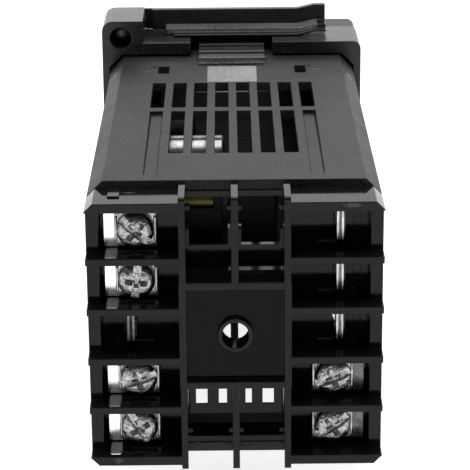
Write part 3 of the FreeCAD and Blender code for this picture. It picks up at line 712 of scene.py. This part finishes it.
# node, finish, body, slot, which edge size, options
outerParts = [
    ("case_sleeve", casePlastic, "case", "case_plastic", "case", {}),
    ("terminal_block", blockPlastic, "case", "block_plastic", "block",
     {"wide": ((gussetCorner, 0.0),)}),
    ("mounting_frame", framePlastic, "frame", "frame_plastic", "frame", {}),
    ("release_lever_top", framePlastic, "top_lever", "frame_plastic", "lever", leverOptions),
    ("release_lever_bottom", framePlastic, "bottom_lever", "frame_plastic", "lever",
     leverOptions),
    ("front_bezel", bezelPlastic, "case", "bezel_plastic", "bezel", {}),
]
outerParts += [("contact_plate_%d" % number, contactMetal if number < 5 else wornContact, "case",
                "contact_metal", "metal", {}) for number in range(1, 7)]
innerParts = [
    ("transformer_core", coreSteel, "case", "core_steel", "inside", {}),
    ("transformer_coil", coilTape, "case", "coil_tape", "inside", {}),
    ("filter_capacitor", bobbinPlastic, "case", "can_aluminium", "inside", {}),
    ("output_relay", relayPlastic, "case", "relay_plastic", "relay", {"segments": 3}),
    ("display_window", smokedWindow, "case", "window_plastic", "window", {}),
    ("indicator_lamps", lampPlastic, "case", "lamp_plastic", "lamp", {}),
]
innerParts += [(node, boardLaminate, "case", "board_laminate", "inside", {})
               for node in ("display_board", "power_board", "control_board")]
innerParts += [(node, switchPlastic, "case", "switch_plastic", "inside", {})
               for node in ("key_switches", "power_header", "control_header")]
innerParts += [(node, displayPlastic, "case", "display_plastic", "inside", {})
               for node in ("process_display", "setpoint_display")]
keyMarks = {"set_key": "ring", "shift_key": "left", "down_key": "down", "up_key": "up"}
innerParts += [(node, keyPlastic, node + "_body", "key_plastic", "key", {}) for node in keyMarks]

for *setup, edgeSize, options in outerParts + innerParts:
    softenNode(*setup, edgeSizes[edgeSize], **options)
print("moulded, pressed and inner parts softened")


# terminal screws: pan heads with a cross recess and a slot cut right across

screwShape = {"headRadius": 2.85, "rim": 0.7, "dome": 1.5, "seatChamfer": 0.15,
              "slotWidth": 1.25, "slotDepth": 1.2, "crossLength": 3.7, "crossWidth": 1.0,
              "crossDepth": 1.9, "edge": 0.07, "shankRadius": 1.45, "coreRadius": 1.18,
              "pitch": 0.7, "shankLength": 8.3, "builtRadius": 2.65,
              "turns": [-42, 84, 18, -58, 22, 34]}


def spunShell(profile, steps):
    # profile is (radius, height along Y), from one end of the axis to the other
    bm = bmesh.new()
    verts = [bm.verts.new((radius, along, 0.0)) for radius, along in profile]
    for first, second in zip(verts, verts[1:]):
        bm.edges.new((first, second))
    bmesh.ops.spin(bm, geom=bm.verts[:] + bm.edges[:], cent=(0, 0, 0), axis=(0, 1, 0),
                   angle=math.tau, steps=steps, use_merge=True, use_duplicate=False)
    bmesh.ops.remove_doubles(bm, verts=bm.verts, dist=0.0001)
    bmesh.ops.recalc_face_normals(bm, faces=bm.faces)
    return bm


def boxPart(name, size, place, taper=(1.0, 1.0)):
    # a block whose low-Y end is scaled by taper
    bm = bmesh.new()
    for vert in bmesh.ops.create_cube(bm, size=1.0)["verts"]:
        low = vert.co.y < 0
        vert.co.x *= size[0] * (taper[0] if low else 1.0)
        vert.co.z *= size[2] * (taper[1] if low else 1.0)
        vert.co.y *= size[1]
        vert.co += Vector(place)
    return makeObject(name, meshFrom(bm, name))


def cutAway(piece, cutters, edge):
    for cutter in cutters:
        cut = piece.modifiers.new("cut", "BOOLEAN")
        cut.operation = "DIFFERENCE"
        cut.solver = "EXACT"
        cut.object = cutter
    edges = piece.modifiers.new("edges", "BEVEL")
    edges.width = edge
    edges.segments = 2
    edges.limit_method = "ANGLE"
    edges.angle_limit = math.radians(32)
    mesh = evaluatedMesh(piece, piece.name + "Cut")
    for thing in [piece] + cutters:
        bpy.data.objects.remove(thing)
    return mesh


def screwHeadMesh(shape):
    radius, rim, dome = shape["headRadius"], shape["rim"], shape["dome"]
    top, depth = rim + dome, shape["crossDepth"]
    domeSteps, roundness = 10, 0.8
    profile = [(0.0, 0.0), (radius - shape["seatChamfer"], 0.0), (radius, shape["seatChamfer"])]
    for step in range(domeSteps + 1):
        angle = math.radians(90 * step / domeSteps)
        profile.append((radius * math.cos(angle) ** roundness, rim + dome * math.sin(angle)))
    profile[-1] = (0.0, top)
    head = makeObject("head", meshFrom(spunShell(profile, 56), "head"))
    length, width, place = shape["crossLength"], shape["crossWidth"], (0, top - depth / 2 + 0.01, 0)
    cutters = [boxPart("slot", (radius * 2 + 1, shape["slotDepth"] * 2, shape["slotWidth"]),
                       (0, top, 0)),
               boxPart("cross", (length, depth, width), place, (0.45, 0.5)),
               boxPart("wing", (width, depth, length), place, (0.5, 0.45))]
    return cutAway(head, cutters, shape["edge"])


def screwShank(shape):
    # thread ridges down to a blunt end
    outer, core, pitch = shape["shankRadius"], shape["coreRadius"], shape["pitch"]
    bottom = -shape["shankLength"]
    profile = [(0.0, 0.3), (core, 0.3)]
    along = -0.1
    while along > bottom + pitch:
        profile += [(core, along), (outer, along - pitch * 0.4), (outer, along - pitch * 0.55)]
        along -= pitch
    profile += [(core, along), (core * 0.8, bottom), (0.0, bottom)]
    return meshFrom(spunShell(profile, 28), "shank")


def addCopy(bm, model, matrix):
    before = len(bm.verts)
    bm.from_mesh(model)
    bmesh.ops.transform(bm, matrix=matrix @ Matrix.Scale(mm, 4), verts=bm.verts[:][before:])


screwX = corners("terminal_screws")[1].x - screwShape["builtRadius"] * mm


def buildScrews(shape):
    single = bmesh.new()
    single.from_mesh(screwHeadMesh(shape))
    single.from_mesh(screwShank(shape))
    model = meshFrom(single, "screwModel")
    seat = corners("terminal_screws")[1].y - (shape["rim"] + shape["dome"]) * mm
    screws = bmesh.new()
    for number, turn in enumerate(shape["turns"], 1):
        place = middle("contact_plate_%d" % number)
        addCopy(screws, model,
                Matrix.Translation((math.copysign(screwX, place.x), seat, place.z))
                @ Matrix.Rotation(math.radians(turn), 4, "Y"))
    finishPiece(screws, "terminalScrews", screwNickel, "case",
                ("terminal_screws",), 35)


buildScrews(screwShape)
print("terminal screws made")


# clamp screws: black set screws with a rounded end, seen in the corner blocks' holes

clampShape = {"radius": 1.8, "shankRadius": 1.45, "dome": 1.2, "domeSteps": 8, "neck": 1.6,
              "pitch": 0.5, "threadDepth": 0.25, "tip": 0.3}


def buildClampScrews(shape):
    low, high = corners("clamp_screws")
    length = (high.y - low.y) / mm
    radius, shank, pitch = shape["radius"], shape["shankRadius"], shape["pitch"]
    shoulder = length - shape["dome"] - shape["neck"]
    profile = [(0.0, 0.0), (shank - shape["tip"], 0.0)]
    along = shape["tip"]
    while along < shoulder - pitch:
        profile += [(shank - shape["threadDepth"], along), (shank, along + pitch / 2)]
        along += pitch
    profile += [(shank, shoulder), (radius, shoulder + 0.2)]
    for step in range(shape["domeSteps"] + 1):
        turn = math.radians(90 * step / shape["domeSteps"])
        profile.append((radius * math.cos(turn), length - shape["dome"] * (1 - math.sin(turn))))
    profile[-1] = (0.0, length)
    model = meshFrom(spunShell(profile, 40), "clampModel")
    bm = bmesh.new()
    for turn in (1, -1):
        addCopy(bm, model, Matrix.Translation((turn * (high.x - radius * mm), low.y,
                                               turn * (high.z - radius * mm))))
    finishPiece(bm, "clampScrews", blackSteel, "frame", ("clamp_screws",), 45)


buildClampScrews(clampShape)


def addBlock(bm, low, high):
    # between any two opposite corners, in metres
    made = bmesh.ops.create_cube(bm, size=1.0)["verts"]
    spans = [sorted(pair) for pair in zip(low, high)]
    for vert in made:
        vert.co = Vector(first + (last - first) * (place + 0.5)
                         for (first, last), place in zip(spans, vert.co))
    return made


def alongAxis(verts, axis, reach):
    # the edges that run along one axis for more than reach
    return [edge for edge in {e for vert in verts for e in vert.link_edges}
            if abs(edge.verts[0].co[axis] - edge.verts[1].co[axis]) > reach]


# square washers: a pressed cup whose two sides stand up beside the screw's head

washerShape = {"height": 5.5, "corner": 0.8, "lipWidth": 0.45, "lipRise": 0.3, "edge": 0.14}


def buildWashers(shape):
    low, high = corners("screw_washers")
    half = high.x - screwX
    tall, corner, rise = shape["height"] / 2 * mm, shape["corner"] * mm, shape["lipRise"] * mm
    bm = bmesh.new()
    for number in range(1, 7):
        plate = middle("contact_plate_%d" % number)
        x = math.copysign(screwX, plate.x)
        made = addBlock(bm, (x - half, low.y, plate.z - tall), (x + half, high.y, plate.z + tall))
        bmesh.ops.bevel(bm, geom=alongAxis(made, 1, (high.y - low.y) / 2), offset=corner,
                        segments=4, affect="EDGES", profile=0.5, material=-1)
        for side in (-1, 1):
            addBlock(bm, (x + side * half, high.y, plate.z - tall + corner),
                     (x + side * (half - shape["lipWidth"] * mm), high.y + rise,
                      plate.z + tall - corner))
    finishPiece(bm, "squareWashers", nickelSteel, "case", ("screw_washers",), 40,
                edge=shape["edge"], segments=3, edgeAngle=40)


buildWashers(washerShape)


# bare contacts: a folded strip with two ridges, held by a root in the block's back wall

bladeShape = {"stripMiddle": 1.95, "stripWidth": 1.7, "stripDepth": 1.0, "corner": 0.5,
              "ridgeWidth": 0.76, "ridgeOffset": 0.385, "ridgeProud": 0.5, "endGap": 0.05,
              "rootWidth": 0.9, "rootHeight": 2.6, "rootReach": 2.6, "tailGap": 3.1,
              "tailWidth": 0.8, "tailHalf": 1.2, "flare": 1.2, "flaredNumber": 4, "edge": 0.1,
              "plugReach": 0.3, "plugDrop": 2.25, "plugEdge": 0.05}


def addRidges(bm, stripX, low, high, shape):
    radius = shape["ridgeWidth"] / 2 * mm
    for offset in (-shape["ridgeOffset"], shape["ridgeOffset"]):
        made = bmesh.ops.create_cone(bm, cap_ends=True, segments=20, radius1=radius,
                                     radius2=radius,
                                     depth=high.z - low.z - 2 * shape["endGap"] * mm)["verts"]
        for vert in made:
            vert.co.y *= 2 * shape["ridgeProud"] / shape["ridgeWidth"]
        bmesh.ops.translate(bm, verts=made,
                            vec=(stripX + offset * mm, high.y, (low.z + high.z) / 2))


def buildBlade(number, shape):
    node = "contact_blade_%d" % number
    low, high = corners(node)
    side = 1 if low.x > 0 else -1
    inner, outer = (low.x, high.x) if side > 0 else (high.x, low.x)
    stripX = inner + side * shape["stripMiddle"] * mm
    height = (low.z + high.z) / 2
    front = high.y - shape["stripDepth"] * mm
    half = shape["stripWidth"] / 2 * mm
    bm = bmesh.new()
    strip = addBlock(bm, (stripX - half, front, low.z), (stripX + half, high.y, high.z))
    lower = [edge for edge in alongAxis(strip, 1, half)
             if all(vert.co.z < height for vert in edge.verts)]
    bmesh.ops.bevel(bm, geom=lower, offset=shape["corner"] * mm, segments=4, affect="EDGES",
                    profile=0.5, material=-1)
    rootHalf, rootHigh = shape["rootWidth"] / 2 * mm, shape["rootHeight"] / 2 * mm
    addBlock(bm, (stripX - rootHalf, high.y - shape["rootReach"] * mm, height - rootHigh),
             (stripX + rootHalf, front, height + rootHigh))
    tailRear = high.y - shape["tailGap"] * mm
    tailInner, tailHalf = outer - side * shape["tailWidth"] * mm, shape["tailHalf"] * mm
    addBlock(bm, (outer, low.y, height - tailHalf), (tailInner, tailRear, height + tailHalf))
    addRidges(bm, stripX, low, high, shape)
    if number == shape["flaredNumber"]:
        wing = addBlock(bm, (stripX, front, height), (stripX - side * half, high.y, high.z))
        for vert in wing:
            if vert.co.z > height + half and abs(vert.co.x - stripX) > half / 2:
                vert.co.x -= side * shape["flare"] * mm
    bmesh.ops.recalc_face_normals(bm, faces=bm.faces)
    finishPiece(bm, camelName(node), dullBlade if number == 1 else bladeMetal, "case",
                (node,), 45, edge=shape["edge"], edgeAngle=50)
    plug = bmesh.new()
    reach = shape["plugReach"] * mm
    addBlock(plug, (outer + side * reach, tailRear, height - tailHalf - reach),
             (tailInner - side * reach, high.y - shape["plugDrop"] * mm,
              height + tailHalf + reach))
    finishPiece(plug, "wallPlug%d" % number, blockPlastic, "case", (), 45,
                edge=shape["plugEdge"])


for number in range(1, 5):
    buildBlade(number, bladeShape)
print("washers and bare contacts made")


# black flange in front of the coil: it leaves a strip of tape in view along the top

flangeShape = {"thickness": 0.9, "gap": 0.1, "sideReach": 0.4, "lowReach": 0.4, "topDrop": 1.85,
               "post": 0.95, "postFoot": 0.5, "postRise": 0.2, "edge": 0.15}


def buildFlange(shape):
    low, high = corners("transformer_coil")
    size = {key: value * mm for key, value in shape.items()}
    near = high.y + size["gap"]
    far = near + size["thickness"]
    inner = low.x - size["sideReach"]
    bm = bmesh.new()
    addBlock(bm, (inner, near, low.z - size["lowReach"]),
             (high.x + size["sideReach"], far, high.z - size["topDrop"]))
    addBlock(bm, (inner, near, high.z - size["topDrop"] - size["postFoot"]),
             (low.x + size["post"], far, high.z + size["postRise"]))
    finishPiece(bm, "bobbinFlange", bobbinPlastic, "case", (), 35,
                edge=shape["edge"], segments=3)


buildFlange(flangeShape)


# the web of each lever's neck beside its corner block, and the thin lip under its tongue

webShape = {"outer": 16.4, "width": 0.7, "front": 2.2, "depth": 0.22, "foot": 25.1, "drop": 0.8,
            "edge": 0.05}
lipShape = {"half": 6.1, "rear": 20.4, "back": 0.3, "taper": 0.1, "reach": 0.42, "thick": 0.26,
            "thinShare": 0.8, "steps": 24, "ragged": 0.22}


def buildWebs(shape):
    top = corners("release_lever_top")[1].z - shape["drop"] * mm
    bm = bmesh.new()
    for turn in (1, -1):
        addBlock(bm, (turn * shape["outer"] * mm, shape["front"] * mm, turn * shape["foot"] * mm),
                 (turn * (shape["outer"] - shape["width"]) * mm,
                  (shape["front"] + shape["depth"]) * mm, turn * top))
    finishPiece(bm, "neckWebs", framePlastic, "frame", (), 35,
                edge=shape["edge"])


def buildLip(name, body, turn, shape):
    under = corners("release_lever_top")[0].z
    random = Random(name)
    thick = shape["thick"] * mm
    bm = bmesh.new()
    grid = []
    for step in range(shape["steps"] + 1):
        x = shape["half"] * (2 * step / shape["steps"] - 1)
        reach = shape["reach"] + random.uniform(-1, 1) * shape["ragged"]
        start, rear = shape["rear"] - shape["back"], shape["rear"] + reach
        section = [(start, under), (start, under + thick),
                   (rear - shape["taper"], under + thick * shape["thinShare"]), (rear, under)]
        grid.append([bm.verts.new((turn * x * mm, along * mm, turn * z)) for along, z in section])
    for first, second in zip(grid, grid[1:]):
        for corner in range(4):
            after = (corner + 1) % 4
            bm.faces.new((first[corner], first[after], second[after], second[corner]))
    bm.faces.new(grid[0])
    bm.faces.new(grid[-1][::-1])
    bmesh.ops.recalc_face_normals(bm, faces=bm.faces)
    finishPiece(bm, name, framePlastic, body, (), 50)


buildWebs(webShape)
buildLip("tongueLipTop", "top_lever", 1, lipShape)
buildLip("tongueLipBottom", "bottom_lever", -1, lipShape)
print("flange, webs and lips made")


# reservoir capacitor: a lying can with a crimp near its leads

canShape = {"radius": 3.3, "corner": 0.5, "cornerSteps": 5, "crimp": 0.35, "crimpPlace": 2.2,
            "crimpHalf": 0.5, "crimpSteps": 8, "endChamfer": 0.15, "setback": 0.2}


def buildCan(shape):
    low, high = corners("reservoir_capacitor")
    length = (high.x - low.x) / mm
    radius, corner, chamfer = shape["radius"], shape["corner"], shape["endChamfer"]
    profile = [(0.0, 0.0)]
    for step in range(shape["cornerSteps"] + 1):
        turn = math.radians(90 * step / shape["cornerSteps"])
        profile.append((radius - corner + corner * math.sin(turn),
                        corner - corner * math.cos(turn)))
    for step in range(shape["crimpSteps"] + 1):
        share = step / shape["crimpSteps"]
        profile.append((radius - shape["crimp"] * math.sin(math.pi * share),
                        length - shape["crimpPlace"] + shape["crimpHalf"] * (2 * share - 1)))
    profile += [(radius, length - chamfer), (radius - chamfer, length), (0.0, length)]
    bm = spunShell(profile, 56)
    centre = (low.x, (low.y + high.y) / 2 - shape["setback"] * mm, high.z - radius * mm)
    bmesh.ops.transform(bm, matrix=Matrix.Translation(centre)
                        @ Matrix.Rotation(math.radians(-90), 4, "Z") @ Matrix.Scale(mm, 4),
                        verts=bm.verts)
    finishPiece(bm, "reservoirCapacitor", canAluminium, "case",
                ("reservoir_capacitor",), 40)


buildCan(canShape)


# slats behind the lower openings of the wall

slatShape = {"front": 90.5, "rear": 91.0, "low": -16.4, "high": -11.4, "sill": -14.85,
             "bars": [(6.25, 7.2), (2.67, 4.46), (-1.52, 1.41), (-4.2, -2.49), (-7.2, -5.95)]}


def extrudeFaces(bm, faces, distance):
    # thickens flat faces along Y
    made = bmesh.ops.extrude_face_region(bm, geom=faces)["geom"]
    bmesh.ops.translate(bm, verts=[item for item in made if isinstance(item, bmesh.types.BMVert)],
                        vec=(0.0, distance, 0.0))


def buildSlats(shape):
    bm = bmesh.new()
    places = sorted(value for bar in shape["bars"] for value in bar)
    levels = (shape["low"], shape["sill"], shape["high"])
    grid = [[bm.verts.new(Vector((x, shape["rear"], z)) * mm) for z in levels] for x in places]
    for column, (near, far) in enumerate(zip(grid, grid[1:])):
        for row in range(2):
            if row == 0 or column % 2 == 0:
                bm.faces.new((near[row], near[row + 1], far[row + 1], far[row]))
    extrudeFaces(bm, bm.faces[:], (shape["front"] - shape["rear"]) * mm)
    bmesh.ops.recalc_face_normals(bm, faces=bm.faces[:])
    finishPiece(bm, "wallSlats", blockPlastic, "case", (), 40)


buildSlats(slatShape)


# bright feet of the long contact plates, lying on the shelves

footShape = {"inner": 17.7, "outer": 19.4, "front": 94.95, "rear": 99.6, "thick": 0.14,
             "drop": 3.45, "corner": 0.3}


def buildFoot(number, shape):
    low, high = corners("contact_plate_%d" % number)
    shelfTop = (low.z + high.z) / 2 - shape["drop"] * mm
    bm = bmesh.new()
    made = addBlock(bm, (shape["inner"] * mm, shape["front"] * mm, shelfTop),
                    (shape["outer"] * mm, shape["rear"] * mm, shelfTop + shape["thick"] * mm))
    bmesh.ops.bevel(bm, geom=alongAxis(made, 2, shape["thick"] / 2 * mm),
                    offset=shape["corner"] * mm, segments=3, affect="EDGES", profile=0.5,
                    clamp_overlap=True)
    finishPiece(bm, "plateFoot%d" % number, footMetal, "case", (), 35)


for number in range(1, 5):
    buildFoot(number, footShape)


# a tinned link wire that stands out from the display board

def tube(bm, points, radius, segments=12):
    rings = []
    for index, point in enumerate(points):
        before = points[max(index - 1, 0)]
        after = points[min(index + 1, len(points) - 1)]
        turn = (after - before).to_track_quat("Z", "Y")
        angles = [math.tau * step / segments for step in range(segments)]
        rings.append([bm.verts.new(point + turn @ Vector((math.cos(angle) * radius,
                                                          math.sin(angle) * radius, 0.0)))
                      for angle in angles])
    for first, second in zip(rings, rings[1:]):
        for step in range(segments):
            after = (step + 1) % segments
            bm.faces.new((first[step], first[after], second[after], second[step]))
    bm.faces.new(rings[0][::-1])
    bm.faces.new(rings[-1])


linkShape = {"height": 17.8, "radius": 0.45,
             "path": [(6.9, 3.3), (6.9, 20.8), (6.75, 21.5), (6.3, 21.8)]}


def buildLink(shape):
    half = [Vector((x, along, shape["height"])) * mm for x, along in shape["path"]]
    points = half + [Vector((-point.x, point.y, point.z)) for point in half[::-1]]
    bm = bmesh.new()
    tube(bm, points, shape["radius"] * mm)
    bmesh.ops.recalc_face_normals(bm, faces=bm.faces)
    finishPiece(bm, "linkWire", footMetal, "case", (), 60)


buildLink(linkShape)


# seven-segment digits: unlit bars just proud of each display's face

digitShape = {"lean": 0.14, "bar": 0.95, "gap": 0.16, "proud": 0.12, "pointRadius": 0.5,
              "pointOut": 0.55, "pointDrop": 0.1, "sideMargin": 1.6, "endMargin": 1.1,
              "edge": 0.03}


def addSegment(bm, start, end, width, gap):
    # a bar with pointed ends, in (x, z)
    along = (end - start).normalized()
    across = Vector((-along.y, along.x)) * width / 2
    first, last = start + along * gap, end - along * gap
    tip = along * width / 2
    outline = [first, first + tip + across, last - tip + across, last, last - tip - across,
               first + tip - across]
    bm.faces.new([bm.verts.new((point.x, 0.0, point.y)) for point in outline])


def buildDigits(node, name, count, shape):
    low, high = corners(node)
    bar, gap, margin = shape["bar"] * mm, shape["gap"] * mm, shape["endMargin"] * mm
    top, bottom = high.z - margin, low.z + margin
    pitch = (high.x - low.x) / count
    half = pitch / 2 - shape["sideMargin"] * mm
    centreZ = (top + bottom) / 2
    rows = (bottom + bar / 2, centreZ, top - bar / 2)
    bm = bmesh.new()
    for digit in range(count):
        centreX = low.x + pitch * (digit + 0.5)
        knots = {(side, row): Vector((centreX + side * (half - bar / 2)
                                      + (height - centreZ) * shape["lean"], height))
                 for side in (-1, 1) for row, height in enumerate(rows)}
        pairs = [((-1, row), (1, row)) for row in range(3)]
        pairs += [((side, row), (side, row + 1)) for side in (-1, 1) for row in range(2)]
        for start, end in pairs:
            addSegment(bm, knots[start], knots[end], bar, gap)
        made = bmesh.ops.create_circle(bm, cap_ends=True, segments=16,
                                       radius=shape["pointRadius"] * mm)["verts"]
        for vert in made:
            vert.co = Vector((vert.co.x + centreX + half + shape["pointOut"] * mm, 0.0,
                              vert.co.y + rows[0] - shape["pointDrop"] * mm))
    bmesh.ops.translate(bm, verts=bm.verts, vec=(0.0, low.y, 0.0))
    extrudeFaces(bm, bm.faces[:], -shape["proud"] * mm)
    bmesh.ops.recalc_face_normals(bm, faces=bm.faces)
    finishPiece(bm, name, segmentPlastic, "case", (), 40, edge=shape["edge"])


buildDigits("process_display", "processDigits", 4, digitShape)
buildDigits("setpoint_display", "setpointDigits", 4, digitShape)


# plain moulded marks on the keys: a ring, then arrows left, down and up

markShape = {"size": 1.35, "proud": 0.1, "sunk": 0.05, "ringInner": 0.8, "ringOuter": 1.25,
             "edge": 0.04}
arrowTurns = {"up": 90, "left": 180, "down": 270}


def buildKeyMark(node, kind, shape):
    low, high = corners(node)
    centre = Vector(((low.x + high.x) / 2, low.y, (low.z + high.z) / 2))
    proud, sunk = shape["proud"], shape["sunk"]
    if kind == "ring":
        inner, outer = shape["ringInner"], shape["ringOuter"]
        bm = spunShell([(inner, -proud), (outer, -proud), (outer, sunk), (inner, sunk),
                        (inner, -proud)], 40)
        bmesh.ops.scale(bm, verts=bm.verts, vec=(mm, mm, mm))
    else:
        bm = bmesh.new()
        size = shape["size"] * mm
        angles = [math.radians(arrowTurns[kind] + step) for step in (0, 120, 240)]
        face = bm.faces.new([bm.verts.new((math.cos(angle) * size, sunk * mm,
                                           math.sin(angle) * size)) for angle in angles])
        extrudeFaces(bm, [face], -(proud + sunk) * mm)
    bmesh.ops.translate(bm, verts=bm.verts, vec=centre)
    bmesh.ops.recalc_face_normals(bm, faces=bm.faces)
    finishPiece(bm, camelName(node + "_mark"), keyMarkPlastic, node + "_body", (),
                40, edge=shape["edge"])


for node, kind in keyMarks.items():
    buildKeyMark(node, kind, markShape)


# small parts on the side boards: chips with legs, and lying resistors

boardShape = {"chipGap": 0.15, "chipTop": 1.6, "legPitch": 1.27, "legRise": 0.9, "legReach": 0.9,
              "legHalf": 0.2, "resistorRise": 1.0, "resistorRadius": 0.8, "leadRadius": 0.25,
              "edge": 0.08}
# chips are (along, height, length, width), resistors are (along, height)
boardParts = {
    "power_board": (1, [(20.0, -8.0, 6.4, 4.0)],
                    [(16.0, 4.0), (26.0, 4.0), (48.0, -6.0), (60.0, -6.0)]),
    "control_board": (-1, [(17.0, -2.0, 10.2, 6.0), (58.0, 0.0, 12.7, 6.5)],
                      [(54.0, 11.5), (64.0, 11.5), (34.0, 12.5), (74.0, 4.0)]),
}


def addChip(bodies, legs, face, side, chip, shape):
    along, height, length, width = chip
    half = shape["legHalf"]
    addBlock(bodies, (face - side * shape["chipGap"] * mm, (along - length / 2) * mm,
                      (height - width / 2) * mm),
             (face - side * shape["chipTop"] * mm, (along + length / 2) * mm,
              (height + width / 2) * mm))
    count = int(length / shape["legPitch"])
    for number in range(count):
        y = along + (number - (count - 1) / 2) * shape["legPitch"]
        for end in (-1, 1):
            addBlock(legs, (face, (y - half) * mm, (height + end * width / 2) * mm),
                     (face - side * shape["legRise"] * mm, (y + half) * mm,
                      (height + end * (width / 2 + shape["legReach"])) * mm))


def addResistor(bodies, legs, face, side, along, height, shape):
    x = face - side * shape["resistorRise"] * mm
    tube(bodies, [Vector((x, (along + step) * mm, height * mm)) for step in (-2.6, -1.7, 1.7, 2.6)],
         shape["resistorRadius"] * mm, 16)
    for end in (-1, 1):
        lead = [Vector((place, (along + end * step) * mm, height * mm))
                for place, step in ((x, 2.5), (x, 3.6), (face, 3.9))]
        tube(legs, lead, shape["leadRadius"] * mm, 8)


def buildBoardParts(board, side, chips, resistors, shape):
    low, high = corners(board)
    face = low.x if side > 0 else high.x
    chipBodies, legs, bodies = bmesh.new(), bmesh.new(), bmesh.new()
    for chip in chips:
        addChip(chipBodies, legs, face, side, chip, shape)
    for along, height in resistors:
        addResistor(bodies, legs, face, side, along, height, shape)
    for bm, label, material, slot in ((chipBodies, "Chips", switchPlastic, "switch_plastic"),
                                      (legs, "Legs", solderTin, "contact_metal"),
                                      (bodies, "Resistors", relayPlastic, "relay_plastic")):
        bmesh.ops.recalc_face_normals(bm, faces=bm.faces)
        finishPiece(bm, camelName(board) + label, material, "case", (), 40,
                    edge=shape["edge"], edgeAngle=50)


for board, parts in boardParts.items():
    buildBoardParts(board, *parts, boardShape)


# the thin step at the foot of each empty compartment's back wall

stepShape = {"inner": 12.6, "outer": 15.35, "front": 92.15, "rear": 92.95, "drop": 3.42,
             "height": 0.3, "rowPitch": 8.0, "edge": 0.06}


def buildSteps(shape):
    bm = bmesh.new()
    pitch = shape["rowPitch"] * mm
    for number in range(1, 5):
        blade = middle("contact_blade_%d" % number)
        foot = round(blade.z / pitch) * pitch - shape["drop"] * mm
        addBlock(bm, (math.copysign(shape["inner"] * mm, blade.x), shape["front"] * mm, foot),
                 (math.copysign(shape["outer"] * mm, blade.x), shape["rear"] * mm,
                  foot + shape["height"] * mm))
    # painted light: the steps take the lighter key finish instead of the block's own, so their
    # edges show though they sit in shade
    finishPiece(bm, "wallSteps", keyPlastic, "case", (), 40, edge=shape["edge"])


buildSteps(stepShape)
print("inner parts made")
